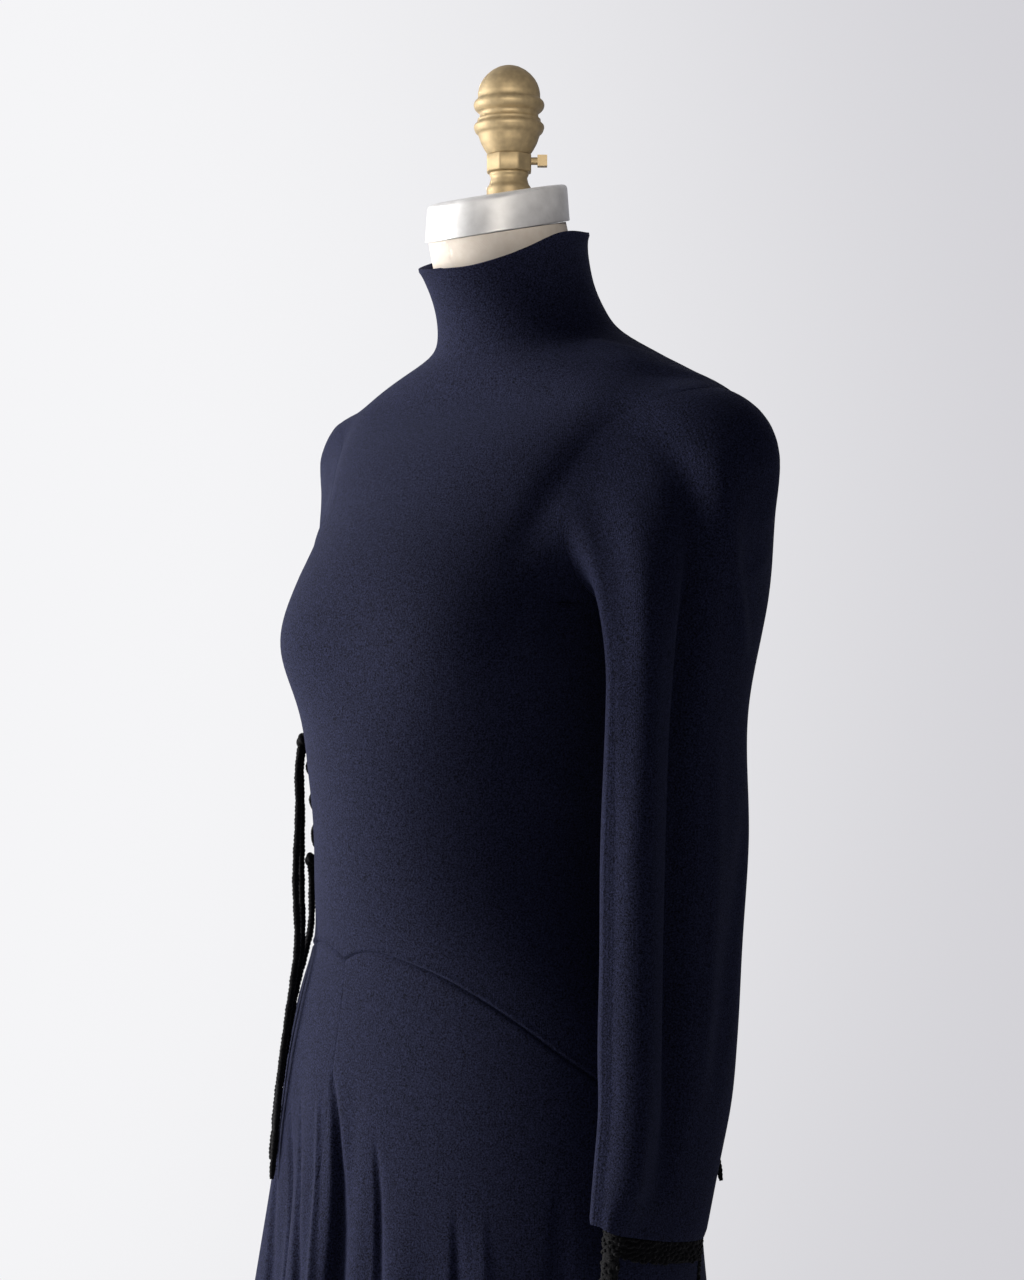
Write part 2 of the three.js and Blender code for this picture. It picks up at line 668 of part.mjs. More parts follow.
// Tubes of wool, laid along their points
function woolTube(name, route, thickness, steps) {
  const points = route.map((p) => ringPointOut(DRESS_ROWS, p.angle, p.height, p.out));
  const round = new THREE.Shape();
  for (let k = 0; k <= 8; k += 1) {
    const turn = (2 * Math.PI * k) / 8;
    const [x, y] = [(thickness / 2) * Math.cos(turn), (thickness / 2) * Math.sin(turn)];
    if (k === 0) round.moveTo(x, y);
    else if (k < 8) round.lineTo(x, y);
    else round.closePath();
  }
  const path = new THREE.CatmullRomCurve3(points, false, "centripetal");
  const tube = new THREE.ExtrudeGeometry(round, { steps, bevelEnabled: false, extrudePath: path });
  add(name, mergeVertices(bareCopy(tube), 1e-4), "yarn");
}

woolTube("side_lacing", LACING, LACE, 24);
woolTube("cord_a", CORD_A, WOOL, 22);
woolTube("cord_b", CORD_B, WOOL, 22);
woolTube("cord_c", CORD_C, WOOL, 15);
woolTube("cord_d", CORD_D, WOOL, 22);

for (const knot of KNOTS) {
  const ball = new THREE.SphereGeometry(knot.size, 8, 6);
  const place = ringPointOut(DRESS_ROWS, knot.angle, knot.height, knot.out);
  ball.translate(place.x, place.y, place.z);
  add(knot.name, mergeVertices(bareCopy(ball), 1e-4), "yarn");
}

// The neck's aluminium cap, with a level seat for the finial's foot
function neckCap() {
  const top = NECK.at(-1);
  const rings = NECK_CAP.map(({ height, grow }) => {
    const ring = [];
    for (let j = 0; j < 40; j += 1) {
      const turn = (2 * Math.PI * j) / 40;
      const y = -(top.front + grow) * Math.cos(turn);
      const x = (top.half + grow) * Math.sin(turn);
      ring.push(new THREE.Vector3(x, top.side + y, height + top.lean * y));
    }
    return ring;
  });
  const seat = new THREE.CylinderGeometry(17, 17, 40, 24).rotateX(Math.PI / 2).translate(0, 0, 1532);
  const cap = toSolid(solidFromRings(rings)).subtract(toSolid(seat));
  add("neck_ring", toGeometry(cap), "aluminium");
}
neckCap();

// Turned fittings on the pole's axis
function turned(outline, segments) {
  const points = outline.map(([radius, height]) => new THREE.Vector2(radius, height));
  return new THREE.LatheGeometry(points, segments).rotateX(Math.PI / 2);
}

function finial() {
  const head = toSolid(turned(FINIAL_HEAD, 20));
  const foot = toSolid(turned(FINIAL_FOOT, 20));
  const radius = SHANK.across / 2 / Math.cos(Math.PI / 8);
  const shank = new THREE.CylinderGeometry(radius, radius, SHANK.high - SHANK.low, 8);
  shank.rotateX(Math.PI / 2).rotateZ(Math.PI / 8).translate(0, 0, (SHANK.high + SHANK.low) / 2);
  const hole = alongScrew(SCREW.from - SEAM, SCREW.neck, SCREW.shaft + SEAM);
  add("finial", toGeometry(head.add(foot).add(toSolid(shank)).subtract(hole)), "brass");
}

// A rod on the set screw's line, which points back and to the wearer's left
function alongScrew(from, to, radius) {
  const rod = new THREE.CylinderGeometry(radius, radius, to - from, 12);
  rod.rotateZ(Math.PI / 2).translate((from + to) / 2, 0, 0);
  rod.rotateZ(Math.PI / 4).translate(0, 0, SCREW.height);
  return toSolid(rod);
}

function setScrew() {
  const head = new THREE.BoxGeometry(SCREW.tip - SCREW.neck, SCREW.head, SCREW.head);
  head.translate((SCREW.tip + SCREW.neck) / 2, 0, 0).rotateZ(Math.PI / 4);
  head.translate(0, 0, SCREW.height);
  const shaft = alongScrew(SCREW.from, SCREW.neck + 1, SCREW.shaft);
  add("set_screw", toGeometry(shaft.add(toSolid(head))), "brass");
}

finial();
setScrew();

// The pole and its round base plate
const rod = new THREE.CylinderGeometry(POLE, POLE, FORM_FOOT - SEAM - 20 - SEAM, 20);
rod.rotateX(Math.PI / 2).translate(0, 0, (FORM_FOOT + 20) / 2);
add("pole", mergeVertices(bareCopy(rod), 1e-4), "iron");
add("base", toGeometry(toSolid(turned(BASE, 36))), "iron");

export default dress;
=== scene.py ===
import math

import bpy
import numpy as np
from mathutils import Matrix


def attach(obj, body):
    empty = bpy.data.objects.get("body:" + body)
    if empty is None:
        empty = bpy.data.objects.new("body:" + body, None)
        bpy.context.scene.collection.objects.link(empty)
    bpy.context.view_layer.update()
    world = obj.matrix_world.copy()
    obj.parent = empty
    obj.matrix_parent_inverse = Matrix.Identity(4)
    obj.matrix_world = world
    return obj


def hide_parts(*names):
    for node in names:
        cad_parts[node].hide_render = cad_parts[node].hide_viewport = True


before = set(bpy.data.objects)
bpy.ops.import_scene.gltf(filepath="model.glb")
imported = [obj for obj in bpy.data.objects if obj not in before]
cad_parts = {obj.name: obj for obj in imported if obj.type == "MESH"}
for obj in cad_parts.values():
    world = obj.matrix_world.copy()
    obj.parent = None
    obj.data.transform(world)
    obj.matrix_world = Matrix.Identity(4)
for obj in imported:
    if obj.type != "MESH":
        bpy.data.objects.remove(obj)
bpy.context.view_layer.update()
scene = bpy.context.scene
scene.view_settings.view_transform = "Standard"

# Camera
# It is level, at chest height, in front and to the wearer's left. It stands 1.85 m from the
# pole, as the photograph's perspective asks.
EYE_AWAY, EYE_HEIGHT, EYE_TURN = 1.85, 1.192, math.radians(45)
lens = bpy.data.cameras.new("eye")
lens.lens = 71.8
lens.sensor_width = 36
lens.shift_x = 0.0023
lens.clip_end = 50
eye = bpy.data.objects.new("eye", lens)
eye.location = (EYE_AWAY * math.sin(EYE_TURN), -EYE_AWAY * math.cos(EYE_TURN), EYE_HEIGHT)
eye.rotation_euler = (math.pi / 2, 0, EYE_TURN)
scene.collection.objects.link(eye)
scene.camera = eye

# Free wool cords
# Black felted wool cord, 5 mm thick, twisted from three plies and a little fuzzy. Two ends hang
# from the knot at the top of the lacing, one from its foot and one from a knot at the back. All
# are limp and bare, and lie down over the hips.

# The cords lie on the dressed figure, which every cut piece follows too. It is level rings with
# a height, half width, Y of the widest line, reach to front and back from it, and a tip forward.
DRESS = [
    (350, 226, -30, 186, 178, 0),
    (500, 211, -30, 164, 154, 0),
    (640, 196, -30, 142, 130, 0),
    (740, 184, -29, 128, 115, 0),
    (820, 173, -27, 120, 117, 0),
    (862, 170, -26, 116, 116, 0),
    (900, 166, -25, 112, 112, 0),
    (935, 156, -25, 107, 107, 0),
    (975, 136, -26, 104, 99, 0),
    (1015, 125, -28, 111, 96, 0),
    (1060, 122, -28, 115, 98, 0),
    (1105, 127, -26, 121, 106, 0),
    (1150, 132, -22, 125, 116, 0),
    (1195, 138, -16, 132, 122, 0),
    (1240, 147, -6, 133, 122, 0),
    (1285, 159, 4, 114, 114, 0),
    (1325, 178, 12, 96, 96, 0),
    (1360, 185, 16, 64, 74, 0.02),
    (1380, 137, 15, 58, 72, 0.1),
    (1394, 105, 14, 56, 66, 0.17),
    (1404, 77, 14, 52, 60, 0.22),
    (1419, 66, 13, 52, 52, 0.27),
    (1436, 60, 8, 52, 48, 0.3),
    (1455, 58, 3, 56, 49, 0.31),
    (1468, 59, -1, 60, 50, 0.31),
    (1475, 61, -2, 63, 52, 0.31),
]
HEM = 350
# degrees from centre front, height where it begins, width in degrees, depth at the hem
FLUTES = [
    (-86, 850, 8, 20),
    (-70, 900, 7, -16),
    (-53, 940, 8, 17),
    (-40, 930, 5, -13),
    (-28, 900, 5, 15),
    (-4, 905, 5, -24),
    (-14, 910, 6, 17),
    (10, 850, 4.5, -17),
    (20, 850, 7, 16),
    (30, 800, 6, -18),
    (46, 820, 9, 19),
    (61, 800, 7, -16),
    (78, 820, 9, 18),
    (96, 830, 7, -18),
    (112, 850, 8, 17),
    (129, 870, 8, -16),
    (147, 860, 9, 20),
    (165, 880, 7, -18),
    (183, 870, 9, 18),
    (201, 850, 7, -17),
    (217, 840, 8, 18),
    (235, 860, 7, -16),
    (252, 850, 8, 19),
    (264, 820, 5, -14),
]
# degrees either way from centre front, height, reach, and how tall and how wide it is
BUST_TURN, BUST_HEIGHT, BUST_OUT, BUST_TALL, BUST_WIDE = 38, 1190, 16.5, 46, 27


def column(table, key, at, soften=7.0):
    """One column of a table as a smooth curve of its first column, blurred by soften mm."""
    known = np.array([row[0] for row in table], float)
    value = np.array([row[key] for row in table], float)
    slope = np.gradient(value, known)
    fine = np.arange(known[0], known[-1] + 0.5, 1.0)
    i = np.clip(np.searchsorted(known, fine, side="right") - 1, 0, len(known) - 2)
    run = known[i + 1] - known[i]
    t = (fine - known[i]) / run
    curve = (
        value[i] * (2 * t**3 - 3 * t**2 + 1)
        + slope[i] * run * (t**3 - 2 * t**2 + t)
        + value[i + 1] * (3 * t**2 - 2 * t**3)
        + slope[i + 1] * run * (t**3 - t**2)
    )
    reach = int(3 * soften)
    ends = np.arange(1, reach + 1)
    before = curve[0] - (curve[1] - curve[0]) * ends[::-1]
    after = curve[-1] + (curve[-1] - curve[-2]) * ends
    weight = np.exp(-0.5 * (np.arange(-reach, reach + 1) / soften) ** 2)
    curve = np.convolve(np.concatenate([before, curve, after]), weight / weight.sum(), "valid")
    return np.interp(at, fine, curve)


def turned_from(angle, middle):
    """Degrees from middle to angle, from -180 to 180."""
    return (angle - middle + 180) % 360 - 180


def bell(x):
    """A smooth bump that is 1 at 0 and gone by 2 to either side."""
    return np.exp(-(x**2))


def ring_point(angle, height, table=DRESS):
    """Points of the figure at angles from centre front towards the wearer's left."""
    half, side, front, back, lean = (column(table, k, height) for k in range(1, 6))
    sin, cos = np.sin(np.radians(angle)), np.cos(np.radians(angle))
    depth = np.where(cos > 0, front, back)
    reach = ((sin / half) ** 2 + (cos / depth) ** 2) ** -0.5
    if table is DRESS:
        for place in (BUST_TURN, -BUST_TURN):
            near = bell(turned_from(angle, place) / BUST_WIDE)
            reach = reach + BUST_OUT * bell((height - BUST_HEIGHT) / BUST_TALL) * near
        for at, start, wide, deep in FLUTES:
            grown = np.clip((start - height) / (start - HEM), 0, 1) ** 1.25
            reach = reach + deep * grown * bell(turned_from(angle, at) / wide)
    y = -reach * cos
    return np.stack([reach * sin, side + y, height + lean * y], -1)


def surface(angle, height, out):
    """Points of the dressed figure, moved out along its surface's normal."""
    angle, height = np.broadcast_arrays(np.asarray(angle, float), np.asarray(height, float))
    # the normal comes from points 0.6 degrees and 1.5 mm to either side
    across = ring_point(angle + 0.6, height) - ring_point(angle - 0.6, height)
    up = ring_point(angle, height + 1.5) - ring_point(angle, height - 1.5)
    normal = np.cross(across, up)
    normal /= np.linalg.norm(normal, axis=-1, keepdims=True)
    return ring_point(angle, height) + normal * np.asarray(out, float)[..., None]


def linear(code):
    """A linear RGBA colour from an sRGB hex code."""
    part = [int(code[k : k + 2], 16) / 255 for k in (1, 3, 5)]
    return [c / 12.92 if c <= 0.04045 else ((c + 0.055) / 1.055) ** 2.4 for c in part] + [1.0]


def put(tree, kind, links=(), **settings):
    """Adds a node: settings are its own values or, by socket name, its inputs' values."""
    node = tree.nodes.new(kind)
    for key, value in settings.items():
        name = key.replace("_", " ")
        if hasattr(node, key):
            setattr(node, key, value)
        elif name in node.inputs:
            node.inputs[name].default_value = value
        else:
            socket = next(s for s in node.inputs if s.name.lower() == name.lower())
            socket.default_value = value
    for source, target in links:
        tree.links.new(source, node.inputs[target])
    return node


def new_material(name):
    material = bpy.data.materials.new(name)
    material.use_nodes = True
    tree = material.node_tree
    return material, tree, tree.nodes["Principled BSDF"]


def wool_material():
    """Black felted wool yarn: uneven plies and loose fibres as bumps, and hardly any gloss."""
    material, tree, shader = new_material("black wool yarn")
    place = put(tree, "ShaderNodeTexCoord")
    # a scale is patterns a metre: fibres about 1 mm apart, plies about 3 mm apart
    fuzz = put(tree, "ShaderNodeTexNoise", [(place.outputs["Object"], "Vector")], Scale=900, Detail=3)
    ply = put(
        tree,
        "ShaderNodeTexNoise",
        [(place.outputs["Object"], "Vector")],
        Scale=320,
        Detail=2,
        Roughness=0.6,
    )
    tone = put(tree, "ShaderNodeMix", [(fuzz.outputs["Fac"], 0)], data_type="RGBA")
    tone.inputs[6].default_value = linear("#040405")
    tone.inputs[7].default_value = linear("#131317")
    tree.links.new(tone.outputs[2], shader.inputs["Base Color"])
    rough = put(
        tree,
        "ShaderNodeBump",
        [(ply.outputs["Fac"], "Height")],
        Strength=0.8,
        Distance=0.0012,
    )
    fine = put(
        tree,
        "ShaderNodeBump",
        [(fuzz.outputs["Fac"], "Height"), (rough.outputs["Normal"], "Normal")],
        Strength=0.6,
        Distance=0.0005,
    )
    tree.links.new(fine.outputs["Normal"], shader.inputs["Normal"])
    shader.inputs["Roughness"].default_value = 0.95
    shader.inputs["Specular IOR Level"].default_value = 0.15
    shader.inputs["Sheen Weight"].default_value = 0.06
    shader.inputs["Sheen Roughness"].default_value = 0.5
    return material


WOOL = wool_material()
WOOL_CORD = 5.0
# degrees, height and mm out from the figure, knot first
CORDS = {
    "cord_a": [
        (-53.6, 1115.7, 8),
        (-51.5, 1098, 11),
        (-50, 1070, 13),
        (-50, 1020, 16),
        (-50, 975, 15),
        (-50, 945, 12.5),
        (-50, 918, 10.5),
        (-50, 880, 8.5),
        (-50, 840, 6.5),
        (-49, 803, 5.6),
    ],
    "cord_b": [
        (-56.4, 1115.7, 8),
        (-57, 1098, 11.5),
        (-56, 1068, 13),
        (-55, 1020, 13),
        (-54.5, 975, 11),
        (-54, 945, 8),
        (-53.5, 918, 6.2),
        (-53.5, 880, 5.6),
        (-53, 845, 5.6),
        (-53, 815, 5.6),
    ],
    "cord_c": [
        (-55.3, 1029.4, 6.4),
        (-58.5, 1012, 6.6),
        (-60, 980, 6.2),
        (-59, 945, 5.8),
        (-58, 905, 5.6),
        (-57.5, 870, 5.6),
        (-57, 835, 5.6),
    ],
    "cord_d": [
        (128.4, 1111.7, 7),
        (127, 1085, 11),
        (125, 1040, 13),
        (122, 990, 11),
        (118, 940, 7),
        (115, 900, 6),
        (113, 866, 9),
        (111, 838, 15),
        (110, 818, 18),
    ],
}


def spline_points(route, steps):
    """A smooth line through a route on the figure: evenly spaced points and length, in metres."""
    knots = np.array([surface(a, h, o) for a, h, o in route]) / 1000
    padded = np.vstack([2 * knots[0] - knots[1], knots, 2 * knots[-1] - knots[-2]])
    fine = []
    for k in range(len(knots) - 1):
        p0, p1, p2, p3 = padded[k : k + 4]
        for t in np.linspace(0, 1, 24, endpoint=False):
            fine.append(
                0.5
                * (
                    2 * p1
                    + (p2 - p0) * t
                    + (2 * p0 - 5 * p1 + 4 * p2 - p3) * t**2
                    + (3 * p1 - p0 - 3 * p2 + p3) * t**3
                )
            )
    fine = np.array(fine + [knots[-1]])
    run = np.concatenate([[0], np.cumsum(np.linalg.norm(np.diff(fine, axis=0), axis=1))])
    at = np.linspace(0, run[-1], steps)
    return np.stack([np.interp(at, run, fine[:, k]) for k in range(3)], -1), run[-1]


# an edge that turns more than this many degrees stays crisp
SHARP_ANGLE = 48


def mesh_object(name, points, faces, material, smooth=True):
    """A mesh object from points in millimetres."""
    mesh = bpy.data.meshes.new(name)
    mesh.from_pydata((np.asarray(points) / 1000).tolist(), [], faces)
    mesh.polygons.foreach_set("use_smooth", [smooth] * len(mesh.polygons))
    mesh.materials.append(material)
    if smooth:
        mesh.set_sharp_from_angle(angle=math.radians(SHARP_ANGLE))
    mesh.update()
    made = bpy.data.objects.new(name, mesh)
    scene.collection.objects.link(made)
    return made


def tube_faces(rows, cols):
    """Faces over rows of looped points, and over two more points that close the ends."""
    faces = [
        (i * cols + j, i * cols + (j + 1) % cols, (i + 1) * cols + (j + 1) % cols, (i + 1) * cols + j)
        for i in range(rows - 1)
        for j in range(cols)
    ]
    last = (rows - 1) * cols
    faces += [(rows * cols, (j + 1) % cols, j) for j in range(cols)]
    faces += [(rows * cols + 1, last + j, last + (j + 1) % cols) for j in range(cols)]
    return faces


def twisted_tube(name, line, thickness, taper=0.0, twist=9.0):
    """A three-ply twisted cord as a closed mesh round its line: twist is mm a turn."""
    line = line * 1000
    along = np.gradient(line, axis=0)
    along /= np.linalg.norm(along, axis=1, keepdims=True)
    side = np.cross(along, [0.3, 0.7, 0.1])
    side /= np.linalg.norm(side, axis=1, keepdims=True)
    other = np.cross(along, side)
    run = np.concatenate([[0], np.cumsum(np.linalg.norm(np.diff(line, axis=0), axis=1))])
    turn = np.linspace(0, 2 * np.pi, 18, endpoint=False)
    phase = turn[None, :] - 2 * np.pi * run[:, None] / twist
    # three plies stand out, the bare end thins and the yarn is a little uneven
    radius = thickness / 2 * (0.76 + 0.3 * np.abs(np.cos(1.5 * phase)))
    to_end = run[-1] - run
    radius = radius * (1 - taper * np.exp(-to_end / 5))[:, None]
    radius = radius * (1 + 0.1 * np.sin(run / 2.3) * np.sin(run / 5.9 + 1))[:, None]
    ring = (
        line[:, None]
        + radius[..., None] * np.cos(turn)[None, :, None] * side[:, None]
        + radius[..., None] * np.sin(turn)[None, :, None] * other[:, None]
    )
    rows, cols = ring.shape[:2]
    points = np.vstack([ring.reshape(-1, 3), line[0], line[-1]])
    return mesh_object(name, points, tube_faces(rows, cols), WOOL)


for name, route in CORDS.items():
    line, length = spline_points(route, 300)
    cord = twisted_tube(name + "_wool", line, WOOL_CORD, taper=0.45)
    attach(cord, "root")
    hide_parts(name)

# Knit cloth
# Fine felted wool jersey in dark navy, dyed in the yarn, 1.6 mm thick. Its wales run down each
# piece, and every cut piece below is a closed wall of it.

# thickness, ease off the figure, and half of a seam's gap, in mm or in degrees
KNIT, EASE, GAP = 1.6, 0.6, 0.01
# metres from wale to wale and from course to course
WALE, COURSE = 0.0013, 0.0011


def knit_material(name, deep, light):
    """Fine wool jersey: heathered navy, faint wales and courses, a soft fuzzy edge."""
    material, tree, shader = new_material(name)
    place = put(tree, "ShaderNodeTexCoord")
    # flecks of the yarn about 1 mm apart, and wide clouds of tone about 110 mm apart
    melange = put(
        tree,
        "ShaderNodeTexNoise",
        [(place.outputs["Object"], "Vector")],
        Scale=900,
        Detail=3,
        Roughness=0.7,
    )
    cloud = put(
        tree, "ShaderNodeTexNoise", [(place.outputs["Object"], "Vector")], Scale=9, Detail=3
    )
    spread = put(tree, "ShaderNodeMapRange", [(melange.outputs["Fac"], "Value")])
    spread.inputs["From Min"].default_value = 0.34
    spread.inputs["From Max"].default_value = 0.68
    tone = put(tree, "ShaderNodeMix", [(spread.outputs["Result"], 0)], data_type="RGBA")
    tone.inputs[6].default_value = linear(deep)
    tone.inputs[7].default_value = linear(light)
    worn = put(
        tree,
        "ShaderNodeHueSaturation",
        [(tone.outputs[2], "Color")],
        Saturation=0.95,
    )
    shade = put(tree, "ShaderNodeMapRange", [(cloud.outputs["Fac"], "Value")])
    shade.inputs["To Min"].default_value = 0.92
    shade.inputs["To Max"].default_value = 1.08
    tree.links.new(shade.outputs["Result"], worn.inputs["Value"])
    tree.links.new(worn.outputs["Color"], shader.inputs["Base Color"])
    uv = put(tree, "ShaderNodeSeparateXYZ", [(place.outputs["UV"], "Vector")])
    wale = put(tree, "ShaderNodeMath", [(uv.outputs["X"], 0)], operation="MULTIPLY")
    wale.inputs[1].default_value = 2 * math.pi / WALE
    wave = put(tree, "ShaderNodeMath", [(wale.outputs[0], 0)], operation="SINE")
    course = put(tree, "ShaderNodeMath", [(uv.outputs["Y"], 0)], operation="MULTIPLY")
    course.inputs[1].default_value = 2 * math.pi / COURSE
    beat = put(tree, "ShaderNodeMath", [(course.outputs[0], 0)], operation="SINE")
    knit = put(
        tree, "ShaderNodeMath", [(wave.outputs[0], 0), (beat.outputs[0], 1)], operation="ADD"
    )
    loops = put(
        tree,
        "ShaderNodeBump",
        [(knit.outputs[0], "Height")],
        Strength=0.25,
        Distance=0.0002,
    )
    nap = put(
        tree,
        "ShaderNodeBump",
        [(melange.outputs["Fac"], "Height"), (loops.outputs["Normal"], "Normal")],
        Strength=0.7,
        Distance=0.001,
    )
    tree.links.new(nap.outputs["Normal"], shader.inputs["Normal"])
    shader.inputs["Roughness"].default_value = 0.9
    shader.inputs["Specular IOR Level"].default_value = 0.08
    shader.inputs["Sheen Weight"].default_value = 0.12
    shader.inputs["Sheen Roughness"].default_value = 0.4
    shader.inputs["Sheen Tint"].default_value = linear("#8f9bd2")
    return material


JERSEY = knit_material("fine felted wool jersey", "#010105", "#2e3250")


def lay_uv(made, name, places):
    """Gives a mesh a UV map from one place for each of its vertices, in metres."""
    layer = made.data.uv_layers.new(name=name)
    loops = np.empty(len(made.data.loops), int)
    made.data.loops.foreach_get("vertex_index", loops)
    layer.data.foreach_set("uv", places[loops].ravel())


def cloth_wall(name, outer, inner, material, looped, uv):
    """A closed wall of cloth between two grids of points, with its knit laid out as a UV map."""
    rows, cols = outer.shape[:2]
    points = np.vstack([outer.reshape(-1, 3), inner.reshape(-1, 3)])
    count = rows * cols

    def at(layer, i, j):
        return layer * count + i * cols + j % cols

    faces = []
    for j in range(cols if looped else cols - 1):
        for i in range(rows - 1):
            faces.append((at(0, i, j), at(0, i, j + 1), at(0, i + 1, j + 1), at(0, i + 1, j)))
            faces.append((at(1, i, j), at(1, i + 1, j), at(1, i + 1, j + 1), at(1, i, j + 1)))
        top = rows - 1
        faces.append((at(1, 0, j), at(1, 0, j + 1), at(0, 0, j + 1), at(0, 0, j)))
        faces.append((at(0, top, j), at(0, top, j + 1), at(1, top, j + 1), at(1, top, j)))
    if not looped:
        end = cols - 1
        for i in range(rows - 1):
            faces.append((at(1, i, 0), at(0, i, 0), at(0, i + 1, 0), at(1, i + 1, 0)))
            faces.append((at(0, i, end), at(1, i, end), at(1, i + 1, end), at(0, i + 1, end)))
    a, b, c = (points[[f[k] for f in faces]] for k in range(3))
    if np.einsum("ij,ij->i", a, np.cross(b, c)).sum() < 0:
        faces = [face[::-1] for face in faces]
    made = mesh_object(name, points, faces, material)
    lay_uv(made, "knit", np.vstack([uv.reshape(-1, 2)] * 2) / 1000)
    return made


def crease(x, y, path, wide, deep):
    """A soft trough, or a ridge where deep is above zero, that fades in and out along a path."""
    best = np.full(x.shape, 1e9)
    along = np.zeros(x.shape)
    total = sum(math.dist(p, q) for p, q in zip(path, path[1:]))
    done = 0.0
    for (x0, y0), (x1, y1) in zip(path, path[1:]):
        run = math.dist((x0, y0), (x1, y1))
        t = np.clip(((x - x0) * (x1 - x0) + (y - y0) * (y1 - y0)) / run**2, 0, 1)
        gap = np.hypot(x - x0 - t * (x1 - x0), y - y0 - t * (y1 - y0))
        along = np.where(gap < best, (done + t * run) / total, along)
        best = np.minimum(best, gap)
        done += run
    # it fades over the first and the last 22 per cent of the path
    fade = np.clip(along / 0.22, 0, 1) * np.clip((1 - along) / 0.22, 0, 1)
    return deep * bell(best / wide) * fade**0.8


def finish_sheet(piece, nodes):
    """Fixes a cut piece to the body and hides the model's part that it stands for."""
    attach(piece, "root")
    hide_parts(nodes)


# Bodice
# Two cut panels, front and back, from the pointed hip seam up to the collar, joined at the
# sides and along the shoulders. The cloth is stretched smooth over the form.

# the seam's point in degrees from centre front, and the foot of the neck
NOTCH, NECK_BASE = -18, 1404
# degrees either way from the seam's point, height
HIP_SEAM = [
    (0, 969),
    (9, 975),
    (22, 977),
    (36, 972),
    (54, 960),
    (72, 938),
    (90, 903),
    (104, 876),
    (118, 900),
    (136, 938),
    (160, 958),
    (180, 962),
]
# the armhole: degrees that it takes from the front and the back panel, and its height
ARM_FRONT, ARM_BACK = 32, 28
ARM_MIDDLE, ARM_HALF = 1288, 72
ARM_LOW, ARM_HIGH = ARM_MIDDLE - ARM_HALF, ARM_MIDDLE + ARM_HALF
# millimetres on the cloth for a degree round the body, and for one armhole's size beyond it
MM_A_DEGREE, MM_A_SIZE = 2.4, 66
# a panel's rows close to the hip seam, the height where they end, and its columns
SEAM_ROWS, YOKE_TOP, PANEL_COLUMNS = 22, 1008, 241
# the routes of the pulls on both sides, as (degrees, height), with their width and depth
BODY_PULLS = [
    ([(99, 1386), (85, 1374), (74, 1358), (66, 1330), (56, 1292), (46, 1236)], 11, -3.1),
    ([(65, 1222), (62, 1212), (58, 1194)], 4.5, -2.2),
    ([(58, 1220), (54, 1184)], 8, 1.2),
    ([(118, 1236), (108, 1200)], 7, -2),
    ([(56, 1108), (80, 1080)], 9, 0.8),
]
LEFT_SHOULDER = ([(88, 1400), (84, 1374)], 24, 3.5)


def seam_height(angle):
    """Height of the hip seam, which dips at its point and at the sides."""
    return column(HIP_SEAM, 1, np.abs(turned_from(angle, NOTCH)), soften=1.5)


def armhole_lift(beyond, height, left):
    """How far the bodice lifts towards the sleeve: beyond is mm from the armhole's edge."""
    # the cloth stands out at the armpit, more on the left, and at the shoulder, and sinks between
    lift = np.where(left, 7, 1.5) * bell((height - 1262) / 32) * np.exp(-np.abs(beyond) / 20)
    lift = lift + 2.5 * bell((height - 1361) / 12) * np.exp(-np.abs(beyond) / 12)
    return lift - 1.5 * bell((height - 1318) / 34) * bell(beyond / 17)


def squareness(height, front):
    """The power of the armhole's oval: its lower front corner is squarer."""
    low = np.clip((1296 - height) / 25, 0, 1)
    return 2 + np.where(front, 1.7, 0) * low**2 * (3 - 2 * low)


def armhole_cut(height, cut):
    """Degrees that the armhole takes from a panel at a height, from a cut at its middle."""
    part = np.clip(1 - ((height - ARM_MIDDLE) / ARM_HALF) ** 2, 0, None)
    return cut * part ** (1 / squareness(height, cut == ARM_FRONT))


def body_creases(angle, height):
    """The pulls and hollows the cloth takes over the form, in mm out from it."""
    x = angle * MM_A_DEGREE
    out = np.zeros(angle.shape)
    sides = [(side, pull) for side in (1, -1) for pull in BODY_PULLS]
    for side, (route, wide, deep) in [*sides, (1, LEFT_SHOULDER)]:
        path = [(side * turn * MM_A_DEGREE, level) for turn, level in route]
        out += crease(x, height, path, wide, deep)
    return out


